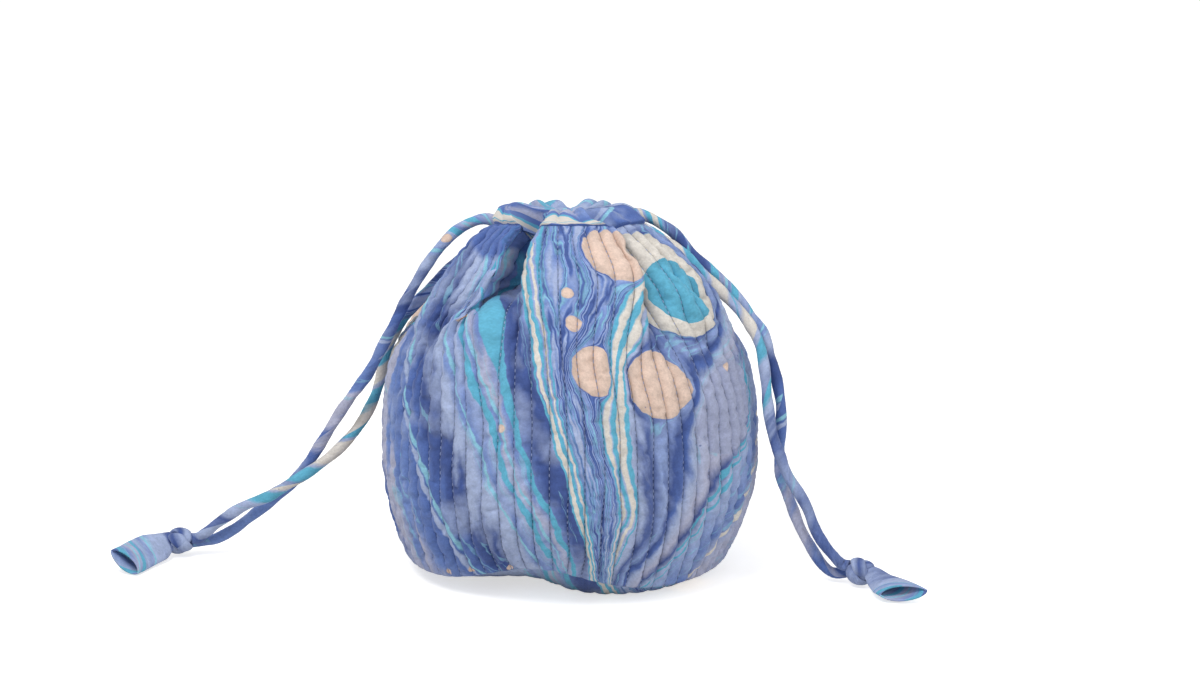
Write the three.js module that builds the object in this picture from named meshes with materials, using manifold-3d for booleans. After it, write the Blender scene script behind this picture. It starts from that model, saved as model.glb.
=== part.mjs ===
// Quilted drawstring pouch, filled out and drawn shut, standing on its round base.
// Millimetres, +Z up, the front faces -Y and the middle of the base's underside is the origin.

import * as THREE from 'three';
import { mergeVertices } from 'three/addons/utils/BufferGeometryUtils.js';
import Module from 'manifold-3d';

// Body
const bellyRadius = 99;
const bellyHeight = 66;
const shoulderPower = 2.2;
const lowerWallPower = 2.4;
const bellyShare = 0.31;
const wallThickness = 3.2;
const channelCount = 68;
const channelPuff = 0.9;
const seamGap = 0.3;

// Base
const baseSeamRadius = 83.5;
const baseSeamHeight = 5.5;
const baseFlatRadius = 62;
const curlShare = 0.55;
const curlRise = 0.3;

// Tucked-in part of the lower front edge: where it is, how far round it goes, its lift and its depth
const tuckAngle = -106;
const tuckWidth = 30;
const tuckLift = 9;
const tuckDepth = 10;
const tuckUnder = 18;

// Drawstrings
const cordDiameter = 6.2;
const cordClearance = 0.3;
const cordSides = 8;
const exitBendRadius = 7;

// Drawn mouth
const mouthHeight = 187;
const mouthCrestRadius = 44;
const mouthValleyDrop = 12;
const mouthTilt = 0.13;
const mouthHoleRadius = 10;
const casingDrop = 9.5;
const casingWall = 1.9;
const casingRound = 1.5;
const casingFlare = 0.6;
const gatherStart = 0.41;
const foldStart = 0.5;
const foldFull = 0.93;
const lobeBulge = 3;
const lobePinch = 0.78;

// Mouth angles in degrees: 0 is right, -90 is front. Creases are placed by channel number.
const leftExitAngle = -172;
const rightExitAngle = -8;
const exitHalfAngle = 10;
const exitHalfChannels = 0.7;
const backLobeCount = 4;
const frontCreases = [
  { channel: 11, angle: -119, lean: 5 },
  { channel: 24, angle: -58, lean: -10 },
];

// Knots and tabs
const knotRadius = 8.2;
const knotFaceRadius = 6.9;
const knotLength = 11;
const knotGroove = 0.6;
const knotSides = 14;
const tabWidth = 20;
const tabNeckWidth = 11;
const tabThickness = 6.5;
const tabWall = 1.3;
const tabLead = 2;
const tabWidenShare = 0.6;
const tabClosedShare = 0.4;
const tabSides = 12;

const { lerp, degToRad, smoothstep } = THREE.MathUtils;
const wasm = await Module();
wasm.setup();

// Values that follow from the sizes above
const tunnelRadius = cordDiameter / 2 + cordClearance;
const cordRingRadius = mouthHoleRadius + casingWall + tunnelRadius;
const collarRadius = cordRingRadius + tunnelRadius + casingWall;
const casingBottom = mouthHeight - casingDrop;
const lowerCordHeight = casingBottom + casingWall + tunnelRadius;
const upperCordHeight = lowerCordHeight + cordDiameter + cordClearance;
const casingTop = upperCordHeight + tunnelRadius + casingWall;
const mouthValleyRadius = collarRadius + wallThickness;

// Creases of the drawn mouth, from the left exit round the front and the back to the left exit again
function creaseList() {
  const list = [];
  const half = channelCount / 2;
  list.push({ channel: exitHalfChannels, angle: leftExitAngle + exitHalfAngle, lean: 0 });
  list.push(...frontCreases);
  list.push({ channel: half - exitHalfChannels, angle: rightExitAngle - exitHalfAngle, lean: 0 });
  const backFrom = { channel: half + exitHalfChannels, angle: rightExitAngle + exitHalfAngle };
  const backTo = { channel: channelCount - exitHalfChannels, angle: leftExitAngle + 360 - exitHalfAngle };
  for (let i = 0; i <= backLobeCount; i += 1) {
    const share = i / backLobeCount;
    const channel = lerp(backFrom.channel, backTo.channel, share);
    list.push({ channel, angle: lerp(backFrom.angle, backTo.angle, share), lean: 0 });
  }
  const last = { channel: channelCount + exitHalfChannels, angle: leftExitAngle + 360 + exitHalfAngle };
  list.push({ ...last, lean: 0 });
  return list;
}
const creases = creaseList();
const exitGaps = [3, 4 + backLobeCount];

// Angle and crest share (0 in a crease, 1 on a lobe) at the mouth, for a place along the cloth in channels
function mouthPlace(channel, pinch) {
  const c = channel < exitHalfChannels ? channel + channelCount : channel;
  let i = creases.length - 2;
  while (c < creases[i].channel) i -= 1;
  const a = creases[i];
  const b = creases[i + 1];
  const t = (c - a.channel) / (b.channel - a.channel);
  const turn = channel < exitHalfChannels ? -360 : 0;
  if (exitGaps.includes(i)) return { angle: lerp(a.angle, b.angle, t) + turn, crest: 0 };
  const crest = 1 - Math.cos(Math.PI * t) ** 4;
  const lean = (t < 0.5 ? a.lean : b.lean) * (1 - crest) ** 2;
  const pinched = t - (pinch * Math.sin(2 * Math.PI * t)) / (2 * Math.PI);
  return { angle: lerp(a.angle, b.angle, pinched) + lean * pinch, crest };
}

// How far the lower front edge is tucked in, 0 to 1
function tuck(angle) {
  return Math.exp(-(((angle - tuckAngle) / tuckWidth) ** 2));
}

// Smooth outer surface of the wall: channel runs round the pouch, v from the base seam to the casing seam
function wallPoint(channel, v) {
  const bellyAngle = -180 + (360 * channel) / channelCount;
  const mouth = mouthPlace(channel, lobePinch);
  const gather = smoothstep(v, gatherStart, 1);
  const fold = smoothstep(v, foldStart, foldFull);
  const angle = degToRad(lerp(bellyAngle, mouth.angle, gather));
  let radius;
  let height;
  if (v < bellyShare) {
    const low = tuck(bellyAngle) * (1 - v / bellyShare) ** 2;
    const down = 1 - v / bellyShare;
    height = lerp(bellyHeight, baseSeamHeight, down) + tuckLift * low;
    radius = bellyRadius - (bellyRadius - baseSeamRadius) * down ** lowerWallPower - tuckDepth * low;
  } else {
    const turnFull = Math.acos(mouthCrestRadius / bellyRadius);
    const turn = (turnFull * (v - bellyShare)) / (1 - bellyShare);
    const rise = (Math.sin(turn) / Math.sin(turnFull)) ** (2 / shoulderPower);
    height = bellyHeight + (mouthHeight - bellyHeight) * rise;
    radius = bellyRadius * Math.cos(turn);
  }
  const bulge = lobeBulge * fold * (1 - smoothstep(v, foldFull, 1));
  const depth = (mouthCrestRadius - mouthValleyRadius) * fold;
  radius += bulge * mouth.crest - depth * (1 - mouth.crest);
  height -= mouthValleyDrop * fold * (1 - mouth.crest);
  const y = radius * Math.sin(angle);
  return new THREE.Vector3(radius * Math.cos(angle), y, height - mouthTilt * y * gather);
}

// Outward normal and upward tangent of the smooth wall
function wallFrame(channel, v) {
  const step = 0.05;
  const rise = 0.002;
  const across = wallPoint(channel + step, v).sub(wallPoint(channel - step, v));
  const up = wallPoint(channel, Math.min(v + rise, 1)).sub(wallPoint(channel, Math.max(v - rise, 0)));
  return { normal: across.cross(up).normalize(), up: up.normalize() };
}

// Wall surface sunk along the normal
function wallOffset(channel, v, depth) {
  return wallPoint(channel, v).addScaledVector(wallFrame(channel, v).normal, -depth);
}

// A closed mesh from a list of points and triangles
function solid(points, triangles) {
  const geometry = new THREE.BufferGeometry().setFromPoints(points);
  geometry.setIndex(triangles);
  return geometry;
}

// A tube of point rings, closed by a fan at each end
function loft(rings, firstCentre, lastCentre) {
  const sides = rings[0].length;
  const points = [...rings.flat(), firstCentre, lastCentre];
  const first = rings.length * sides;
  const last = first + 1;
  const triangles = [];
  for (let k = 0; k < sides; k += 1) {
    const next = (k + 1) % sides;
    for (let i = 0; i < rings.length - 1; i += 1) {
      const low = i * sides;
      const high = low + sides;
      triangles.push(low + k, low + next, high + next, low + k, high + next, high + k);
    }
    const top = (rings.length - 1) * sides;
    triangles.push(first, next, k, last, top + k, top + next);
  }
  return solid(points, triangles);
}

// One quilted half wall between two side seams, its outside sampled on and between the stitch lines.
// A grown copy, thicker all round, is what other pieces keep clear of.
const wallRows = 11;
const rowCrowding = 1.4;
function panelGeometry(fromChannel, toChannel, grow = 0) {
  const edge = (seamGap / 2) * (channelCount / (2 * Math.PI * bellyRadius));
  const spans = toChannel - fromChannel;
  const rowShare = (row) => 1 - (1 - row / (wallRows - 1)) ** rowCrowding;
  const place = (share) => lerp(fromChannel + edge, toChannel - edge, share);
  const flatEdge = (v) => (v > 0 && v < 1 ? 1 : 0);
  const points = [];
  const outer = [];
  const inner = [];
  for (let row = 0; row < wallRows; row += 1) {
    const v = rowShare(row);
    outer.push([]);
    inner.push([]);
    for (let i = 0; i <= 2 * spans; i += 1) {
      outer[row].push(points.length);
      points.push(wallOffset(place(i / (2 * spans)), v, (i % 2 ? 0 : channelPuff * flatEdge(v)) - grow));
    }
    for (let i = 0; i <= spans; i += 1) {
      inner[row].push(points.length);
      points.push(wallOffset(place(i / spans), v, wallThickness + grow));
    }
  }
  const top = points.slice(outer[wallRows - 1][0]);
  top.forEach((point) => point.setZ(point.z + grow));
  const triangles = [];
  const quad = (a, b, c, d) => triangles.push(a, b, c, a, c, d);
  for (let row = 0; row < wallRows - 1; row += 1) {
    const [o, p, m, n] = [outer[row], outer[row + 1], inner[row], inner[row + 1]];
    for (let i = 0; i < 2 * spans; i += 1) quad(o[i], o[i + 1], p[i + 1], p[i]);
    for (let i = 0; i < spans; i += 1) quad(m[i + 1], m[i], n[i], n[i + 1]);
    quad(m[0], o[0], p[0], n[0]);
    quad(o[2 * spans], m[spans], n[spans], p[2 * spans]);
  }
  const [bottomOut, bottomIn] = [outer[0], inner[0]];
  const [topOut, topIn] = [outer[wallRows - 1], inner[wallRows - 1]];
  for (let i = 0; i < spans; i += 1) {
    const k = 2 * i;
    triangles.push(bottomOut[k], bottomIn[i], bottomOut[k + 1]);
    triangles.push(bottomOut[k + 1], bottomIn[i], bottomIn[i + 1]);
    triangles.push(bottomOut[k + 1], bottomIn[i + 1], bottomOut[k + 2]);
    triangles.push(topOut[k], topOut[k + 1], topIn[i]);
    triangles.push(topOut[k + 1], topIn[i + 1], topIn[i]);
    triangles.push(topOut[k + 1], topOut[k + 2], topIn[i + 1]);
  }
  return solid(points, triangles);
}

// Round base: flat underneath, its rim curling up to the wall's lower edge
function baseGeometry() {
  const rings = [[], [], [], [], [], []];
  for (let channel = 0; channel < channelCount; channel += 1) {
    const angle = -180 + (360 * channel) / channelCount;
    const { up } = wallFrame(channel, 0);
    const rimOut = wallOffset(channel, 0, 0).addScaledVector(up, -seamGap);
    const rimIn = wallOffset(channel, 0, wallThickness).addScaledVector(up, -seamGap);
    const flat = baseFlatRadius - tuckUnder * tuck(angle);
    const ray = new THREE.Vector3(Math.cos(degToRad(angle)), Math.sin(degToRad(angle)), 0);
    const under = ray.clone().multiplyScalar(flat);
    const curl = ray.clone().multiplyScalar(lerp(flat, Math.hypot(rimOut.x, rimOut.y), curlShare));
    curl.z = rimOut.z * curlRise;
    const floor = under.clone().setZ(wallThickness);
    const curlIn = ray.clone().multiplyScalar(lerp(flat, Math.hypot(rimIn.x, rimIn.y), curlShare));
    curlIn.z = lerp(wallThickness, rimIn.z, curlRise);
    [under, curl, rimOut, rimIn, curlIn, floor].forEach((point, i) => rings[i].push(point));
  }
  return loft(rings, new THREE.Vector3(), new THREE.Vector3(0, 0, wallThickness));
}

// Routes of the two strands of each drawstring, from the mouth to the knot, outermost point last
const leftOverStrand = [
  [-32, -6.5, 185.5], [-43, -5, 189], [-51, -4, 187], [-60, -4, 181.5], [-71.5, -4, 168.5],
  [-79, -4, 157], [-86.5, -3, 143.5], [-93, -2, 130.5], [-99.5, 0, 118], [-106.5, 2, 104.5],
  [-115.5, 4, 92], [-124.5, 6, 78.5], [-133.5, 9, 63.5], [-141, 11, 52], [-149.5, 13, 41],
  [-158, 14, 33], [-170, 15, 23.5], [-182, 16, 14], [-193.5, 16.8, 8],
];
const leftUnderStrand = [
  [-32, -0.5, 184], [-45, 0, 177], [-57, 0.5, 167], [-70, 3, 154], [-80, 4.5, 143], [-89.5, 8, 131],
  [-95.8, 11, 119], [-99, 13, 107.5], [-102, 15, 96], [-105, 15, 87], [-111, 12, 76], [-119, 9, 66],
  [-129, 6, 57], [-139, 4, 50], [-149.5, 4, 43.5], [-161, 5, 36], [-174.5, 7, 30], [-186, 9, 22.5],
  [-197, 10.6, 13.5],
];
const rightOverStrand = [
  [33.5, 1, 191], [41, 0, 189.5], [48, -1, 186], [55.5, -3, 181], [60.5, -5, 175.5], [66.5, -7, 169],
  [74, -8, 162.5], [82.5, -9, 155], [90, -10, 146], [96, -11, 138], [102, -13, 130], [105.5, -15, 119],
  [109, -17, 107], [111.5, -20, 92.5], [111.5, -22, 78], [111, -23, 69], [112, -25, 54], [117, -28, 41],
  [122, -31, 28.5], [128.5, -33, 17], [134.5, -34.5, 8.5], [140, -35, 5], [145, -36.2, 5.8],
];
const rightUnderStrand = [
  [33, -8, 187.5], [40.5, -9.5, 184], [48, -11, 180], [55, -13, 176], [62, -15, 170.5], [68, -16, 164],
  [75.5, -17, 157], [83, -18, 149.5], [90.5, -19, 141.5], [96.5, -21, 132.5], [100, -23, 125],
  [102.5, -26, 112], [104, -29, 96], [106.5, -32, 80.5], [110.5, -33, 68.5], [114, -34, 59.5],
  [124.5, -37, 42], [129, -39, 30.5], [134, -40.5, 22], [140, -41.5, 15],
];

// Each drawstring: where it leaves the mouth, its height in the casing, its strands, and its knot and tab.
// The first strand leaves on the side that comes first when going round the mouth to the left.
const drawstrings = {
  left: {
    exitAngle: leftExitAngle,
    height: lowerCordHeight,
    strands: [leftOverStrand, leftUnderStrand],
    knot: { centre: [-211, 12.5, 8.4], heading: 195, cordLean: [0.26, 0.83, -0.5] },
    tab: { bend: [-224, 3, 7.6], end: [-236, -21.5, 7], across: [-0.65, 0.53, 0.55] },
  },
  right: {
    exitAngle: rightExitAngle,
    height: upperCordHeight,
    strands: [rightOverStrand, rightUnderStrand],
    knot: { centre: [153, -43.5, 8.6], heading: -35, cordLean: [0.39, 0.56, -0.73] },
    tab: { bend: [163.5, -57, 6.4], end: [174, -75, 5], across: [0.83, 0.5, 0.22] },
  },
};

function headingVector(degrees) {
  return new THREE.Vector3(Math.cos(degToRad(degrees)), Math.sin(degToRad(degrees)), 0);
}

// Hidden run of a drawstring round the mouth, from one exit bend to the other
function hiddenRun(exitAngle, height) {
  const half = cordDiameter / 2 + cordClearance;
  const bendCentre = cordRingRadius + exitBendRadius;
  const bendAside = half + exitBendRadius;
  const bendOut = Math.sqrt(bendCentre ** 2 - bendAside ** 2);
  const leave = Math.asin(bendAside / bendCentre);
  const out = headingVector(exitAngle);
  const side = headingVector(exitAngle + 90);
  const at = (radial, aside) => {
    const point = out.clone().multiplyScalar(radial).addScaledVector(side, aside);
    return point.setZ(height - mouthTilt * point.y);
  };
  const points = [];
  const bendSteps = 3;
  const ringSteps = 22;
  for (let i = 0; i <= bendSteps; i += 1) {
    const turn = lerp(Math.PI / 2, leave, i / bendSteps);
    points.push(at(bendOut - exitBendRadius * Math.cos(turn), bendAside - exitBendRadius * Math.sin(turn)));
  }
  for (let i = 1; i < ringSteps; i += 1) {
    const turn = lerp(leave, 2 * Math.PI - leave, i / ringSteps);
    points.push(at(cordRingRadius * Math.cos(turn), cordRingRadius * Math.sin(turn)));
  }
  for (let i = bendSteps; i >= 0; i -= 1) {
    const turn = lerp(Math.PI / 2, leave, i / bendSteps);
    points.push(at(bendOut - exitBendRadius * Math.cos(turn), exitBendRadius * Math.sin(turn) - bendAside));
  }
  return points;
}

// Where a strand meets its knot, side +1 or -1 of the knot's axis
function strandEnd(knot, side) {
  const axis = headingVector(knot.heading);
  const lean = new THREE.Vector3(...knot.cordLean);
  lean.addScaledVector(axis, -lean.dot(axis)).normalize();
  const aside = (cordDiameter / 2 + cordClearance / 2) * side;
  const leadIn = 0.6 * cordDiameter;
  const face = new THREE.Vector3(...knot.centre).addScaledVector(axis, -knotLength / 2 - seamGap);
  const end = face.addScaledVector(lean, aside);
  return [end.clone().addScaledVector(axis, -leadIn), end];
}

// Whole centre line of a drawstring, knot to knot
function cordCurve({ exitAngle, height, strands, knot }) {
  const run = hiddenRun(exitAngle, height);
  const [first, second] = strands.map((strand) => strand.map((p) => new THREE.Vector3(...p)));
  const head = [...first, ...strandEnd(knot, 1)].reverse();
  const tail = [...second, ...strandEnd(knot, -1)];
  return new THREE.CatmullRomCurve3([...head, ...run, ...tail], false, 'centripetal');
}

function cordGeometry(curve, radius) {
  const section = new THREE.Shape().absarc(0, 0, radius, 0, 2 * Math.PI);
  const steps = 80;
  return new THREE.ExtrudeGeometry(section, {
    steps,
    extrudePath: curve,
    curveSegments: cordSides / 2,
  });
}

function toManifold(geometry) {
  const plain = geometry.clone();
  plain.deleteAttribute('normal');
  plain.deleteAttribute('uv');
  const merged = mergeVertices(plain, 1e-4);
  return new wasm.Manifold(new wasm.Mesh({
    numProp: 3,
    vertProperties: new Float32Array(merged.attributes.position.array),
    triVerts: new Uint32Array(merged.index.array),
  }));
}

function fromManifold(body) {
  const mesh = body.getMesh();
  const geometry = new THREE.BufferGeometry();
  geometry.setAttribute('position', new THREE.BufferAttribute(mesh.vertProperties, 3));
  geometry.setIndex(new THREE.BufferAttribute(mesh.triVerts, 1));
  return geometry;
}

// Folded band round half the mouth, ruffled by the gathers, with the cord tunnel cut through it
function casingGeometry(fromChannel, toChannel, tunnels) {
  const edge = (seamGap / 2) * (2 * exitHalfChannels / degToRad(2 * exitHalfAngle)) / mouthHoleRadius;
  const columns = 2 * (toChannel - fromChannel);
  const shoulderSpread = 0.4;
  const rings = [];
  for (let i = 0; i <= columns; i += 1) {
    const channel = lerp(fromChannel + edge, toChannel - edge, i / columns);
    const { angle, crest } = mouthPlace(channel, 0);
    const { up } = wallFrame(channel, 1);
    const at = (radius, height) => {
      const point = headingVector(angle).multiplyScalar(radius);
      return point.setZ(height - mouthTilt * point.y);
    };
    const lowOut = wallOffset(channel, 1, 0).addScaledVector(up, seamGap);
    const lowIn = wallOffset(channel, 1, wallThickness).addScaledVector(up, seamGap);
    const reach = (mouthCrestRadius - mouthValleyRadius) * crest;
    const shoulderHeight = lerp(upperCordHeight - tunnelRadius, casingTop - casingRound, crest);
    const shoulder = at(collarRadius + casingRound + casingFlare * reach, shoulderHeight);
    rings.push([
      lowIn,
      at(cordRingRadius + (casingFlare * reach) / 2, casingBottom),
      at(mouthHoleRadius + casingRound, casingBottom),
      at(mouthHoleRadius, upperCordHeight - tunnelRadius),
      at(mouthHoleRadius + casingRound / 2, casingTop - casingRound),
      at(cordRingRadius, casingTop),
      at(collarRadius + (casingFlare * reach) / 2, casingTop - casingRound * (1 - crest)),
      shoulder.lerp(lowOut.clone().setZ(shoulderHeight), shoulderSpread),
      lowOut,
    ]);
  }
  const middle = (ring) => ring.reduce((sum, p) => sum.add(p), new THREE.Vector3()).divideScalar(ring.length);
  let body = toManifold(loft(rings, middle(rings[0]), middle(rings[rings.length - 1])));
  const wall = [0, seamGap].map((grow) => toManifold(panelGeometry(fromChannel, toChannel, grow)));
  [...tunnels, ...wall].forEach((cut) => {
    body = body.subtract(cut);
  });
  const [band] = body.decompose().sort((a, b) => b.volume() - a.volume());
  return fromManifold(band);
}

// Knot: a tight barrel of wrapped cloth with a groove between its turns
function knotGeometry({ centre, heading }) {
  const half = knotLength / 2;
  const turn = knotLength / 4;
  const profile = [
    [0, -half], [knotFaceRadius, -half], [knotRadius, -turn], [knotRadius - knotGroove, 0],
    [knotRadius, turn], [knotFaceRadius, half], [0, half],
  ];
  const geometry = new THREE.LatheGeometry(profile.map(([x, y]) => new THREE.Vector2(x, y)), knotSides);
  geometry.rotateZ(-Math.PI / 2);
  geometry.rotateZ(degToRad(heading));
  geometry.translate(...centre);
  return geometry;
}

// Tab: flattened cloth tube, closed at the knot and open at its end
function tabGeometry(knot, { bend, end, across }) {
  const axis = headingVector(knot.heading);
  const start = new THREE.Vector3(...knot.centre).addScaledVector(axis, knotLength / 2 + seamGap);
  const lead = start.clone().addScaledVector(axis, tabLead);
  const points = [start, lead, new THREE.Vector3(...bend), new THREE.Vector3(...end)];
  const curve = new THREE.CatmullRomCurve3(points, false, 'centripetal');
  const ringAt = (share, inset) => {
    const tangent = curve.getTangentAt(share);
    const wide = new THREE.Vector3(...across);
    wide.addScaledVector(tangent, -wide.dot(tangent)).normalize();
    const thick = new THREE.Vector3().crossVectors(tangent, wide);
    const halfWide = lerp(tabNeckWidth, tabWidth, smoothstep(share, 0, tabWidenShare)) / 2 - inset;
    const halfThick = tabThickness / 2 - inset;
    const ring = [];
    for (let k = 0; k < tabSides; k += 1) {
      const turn = (2 * Math.PI * k) / tabSides;
      const point = curve.getPointAt(share).addScaledVector(wide, halfWide * Math.cos(turn));
      ring.push(point.addScaledVector(thick, halfThick * Math.sin(turn)));
    }
    return ring;
  };
  const shares = (from, to, steps) => Array.from({ length: steps + 1 }, (_, i) => lerp(from, to, i / steps));
  const outside = shares(0, 1, 5).map((share) => ringAt(share, 0));
  const inside = shares(1, tabClosedShare, 3).map((share) => ringAt(share, tabWall));
  return loft([...outside, ...inside], curve.getPointAt(0), curve.getPointAt(tabClosedShare));
}

const pouch = new THREE.Group();

function addPiece(name, geometry, color, roughness) {
  const material = new THREE.MeshStandardMaterial({ color, roughness, metalness: 0 });
  const mesh = new THREE.Mesh(geometry, material);
  mesh.name = name;
  pouch.add(mesh);
}

const quiltBlue = 0x8a9dca;
const baseBlue = 0x7f8fbd;
const casingCream = 0xc4cbd9;
const cordBlue = 0x8492b8;
const tabBlue = 0x8c99bd;
const clothRoughness = 0.85;

const halfChannels = channelCount / 2;
const cordCurves = Object.fromEntries(Object.entries(drawstrings).map(([side, d]) => [side, cordCurve(d)]));
const tunnels = Object.values(cordCurves).map((curve) => toManifold(cordGeometry(curve, tunnelRadius)));

addPiece('front_panel', panelGeometry(0, halfChannels), quiltBlue, clothRoughness);
addPiece('back_panel', panelGeometry(halfChannels, channelCount), quiltBlue, clothRoughness);
addPiece('base_panel', baseGeometry(), baseBlue, clothRoughness);
addPiece('front_casing', casingGeometry(0, halfChannels, tunnels), casingCream, clothRoughness);
addPiece('back_casing', casingGeometry(halfChannels, channelCount, tunnels), casingCream, clothRoughness);
Object.entries(drawstrings).forEach(([side, { knot, tab }]) => {
  addPiece(`${side}_drawstring`, cordGeometry(cordCurves[side], cordDiameter / 2), cordBlue, clothRoughness);
  addPiece(`${side}_knot`, knotGeometry(knot), cordBlue, clothRoughness);
  addPiece(`${side}_tab`, tabGeometry(knot, tab), tabBlue, clothRoughness);
});

export default pouch;
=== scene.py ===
import math

import bpy
import numpy as np
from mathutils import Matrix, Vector


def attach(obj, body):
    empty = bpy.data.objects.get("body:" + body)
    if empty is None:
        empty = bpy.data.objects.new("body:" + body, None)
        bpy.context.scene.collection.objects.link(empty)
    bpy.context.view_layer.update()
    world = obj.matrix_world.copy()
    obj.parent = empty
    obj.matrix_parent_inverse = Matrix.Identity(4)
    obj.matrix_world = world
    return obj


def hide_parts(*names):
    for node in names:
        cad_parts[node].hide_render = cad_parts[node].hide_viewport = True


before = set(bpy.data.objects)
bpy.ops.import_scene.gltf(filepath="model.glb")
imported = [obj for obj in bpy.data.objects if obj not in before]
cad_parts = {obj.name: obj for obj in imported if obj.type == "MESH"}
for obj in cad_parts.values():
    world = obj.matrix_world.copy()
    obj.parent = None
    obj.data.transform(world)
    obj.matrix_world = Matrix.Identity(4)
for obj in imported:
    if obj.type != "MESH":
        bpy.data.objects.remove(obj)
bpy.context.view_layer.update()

# The printed cotton that every piece is cut from: hand-marbled streams of blue with cyan and cream veins,
# peach stones dropped on top, on a plain weave with a soft matt face.
# Each piece reads it through its own "cloth" UV map, from the place on the roll where it was cut.

# Sizes are millimetres and angles degrees. MM turns a size into Blender's metres.
MM = 0.001


def colour(code):
    """Linear colour of a six-digit sRGB code"""
    shares = [int(code[i:i + 2], 16) / 255 for i in (0, 2, 4)]
    return (*[s / 12.92 if s <= 0.04045 else ((s + 0.055) / 1.055) ** 2.4 for s in shares], 1.0)


def add_node(tree, kind, inputs, **settings):
    """A node with its settings, and its inputs linked or set"""
    node = tree.nodes.new(kind)
    for name, value in settings.items():
        setattr(node, name, value)
    for name, value in inputs.items():
        if isinstance(value, bpy.types.NodeSocket):
            tree.links.new(value, node.inputs[name])
        else:
            node.inputs[name].default_value = value
    return node


def node_group(name, kind, given, made):
    """A new group of nodes with its inputs and outputs, each a name and a kind of socket"""
    tree = bpy.data.node_groups.new(name, kind)
    for in_out, sockets in (("INPUT", given), ("OUTPUT", made)):
        for socket, socket_kind in sockets.items():
            tree.interface.new_socket(socket, in_out=in_out, socket_type="NodeSocket" + socket_kind)
    return tree, tree.nodes.new("NodeGroupInput").outputs, tree.nodes.new("NodeGroupOutput").inputs


def maths(tree, operation, a, b=0.0):
    return add_node(tree, "ShaderNodeMath", {0: a, 1: b}, operation=operation).outputs[0]


def apart(tree, a, b):
    """How far apart two values are"""
    return maths(tree, "ABSOLUTE", maths(tree, "SUBTRACT", a, b))


def centred(tree, value, reach):
    """A value from 0 to 1, moved to lie about 0 and spread over the reach"""
    return maths(tree, "MULTIPLY", maths(tree, "SUBTRACT", value, 0.5), reach)


def map_range(tree, value, start, end, low, high, kind="LINEAR"):
    """Goes from low to high while the value goes from start to end"""
    limits = {0: value, 1: start, 2: end, 3: low, 4: high}
    return add_node(tree, "ShaderNodeMapRange", limits, interpolation_type=kind).outputs[0]


def vector_maths(tree, operation, a, b=(0, 0, 0)):
    return add_node(tree, "ShaderNodeVectorMath", {0: a, 1: b}, operation=operation).outputs[0]


def scaled(tree, vector, amount):
    inputs = {0: vector, "Scale": amount}
    return add_node(tree, "ShaderNodeVectorMath", inputs, operation="SCALE").outputs[0]


def vector_length(tree, vector):
    return add_node(tree, "ShaderNodeVectorMath", {0: vector}, operation="LENGTH").outputs["Value"]


def separate(tree, vector):
    return add_node(tree, "ShaderNodeSeparateXYZ", {0: vector}).outputs


def blend(tree, share, below, above, mode="MIX"):
    inputs = {0: share, 6: below, 7: above}
    return add_node(tree, "ShaderNodeMix", inputs, data_type="RGBA", blend_type=mode).outputs[2]


def ramp(tree, value, stops, interpolation="LINEAR"):
    """Outputs of a colour ramp from pairs of place and colour code; a code of None is clear"""
    node = add_node(tree, "ShaderNodeValToRGB", {0: value})
    node.color_ramp.interpolation = interpolation
    while len(node.color_ramp.elements) < len(stops):
        node.color_ramp.elements.new(1.0)
    for element, (place, code) in zip(node.color_ramp.elements, stops):
        element.position = place
        element.color = colour(code) if code else (0, 0, 0, 0)
    return node.outputs


def noise(tree, place, size, detail=2.0, offset=0.0, output=0):
    """Noise whose lumps are about that many millimetres across"""
    inputs = {"Vector": place, "Scale": 1 / size, "Detail": detail, "W": offset}
    return add_node(tree, "ShaderNodeTexNoise", inputs, noise_dimensions="4D").outputs[output]


def wander(tree, place, size, reach, offset):
    """The place moved about at random, by up to that many millimetres"""
    shift = noise(tree, place, size, offset=offset, output="Color")
    shift = vector_maths(tree, "SUBTRACT", shift, (0.5, 0.5, 0.5))
    return vector_maths(tree, "ADD", place, scaled(tree, shift, 2 * reach))


def stone_group():
    """A drop of colour that pushes what is already there outwards: gives the place before it fell, and how
    deep inside the drop a place is, 0 at its rim"""
    sockets = {"Place": "Vector", "Centre": "Vector", "Radius": "Float"}
    results = {"Place": "Vector", "Depth": "Float"}
    tree, given, made = node_group("stone", "ShaderNodeTree", sockets, results)
    away = vector_maths(tree, "SUBTRACT", given["Place"], given["Centre"])
    distance = vector_length(tree, away)
    share = maths(tree, "DIVIDE", given["Radius"], maths(tree, "MAXIMUM", distance, 0.01))
    left = maths(tree, "SUBTRACT", 1.0, maths(tree, "MULTIPLY", share, share))
    before = scaled(tree, away, maths(tree, "SQRT", maths(tree, "MAXIMUM", left, 0.0)))
    depth = maths(tree, "SUBTRACT", 1.0, maths(tree, "DIVIDE", distance, given["Radius"]))
    tree.links.new(vector_maths(tree, "ADD", given["Centre"], before), made["Place"])
    tree.links.new(depth, made["Depth"])
    return tree


NAVY, DEEP, MID, BLUE, PERIWINKLE = "41558F", "5069A8", "5F78B4", "7089C2", "8A9DCB"
LIGHT, LAVENDER, CYAN, PALE_CYAN = "A3B1D2", "AEB1C9", "5FABC8", "8AC0D6"
CREAM, PEACH = "D3CEC7", "DAC2B4"
STREAMS_START = (184, 0, 0)
STREAM_CORE, STREAM_REACH = 6.0, 3.5
LEFT_SPREAD, RIGHT_SPREAD = (30.0, 1.9), (9.0, 1.1)
STREAM_LEAN, LEAN_FROM, LEAN_TO, LEAN_LEFT, LEAN_RIGHT = 22.0, 95.0, 195.0, -42.0, 8.0
FEATHER, RAGGED, DRAWN_OUT = 0.09, 0.006, (1.0, 0.2, 1.0)
FADE_START, FADE_FULL, FADE = 0.52, 0.64, 0.6
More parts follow.
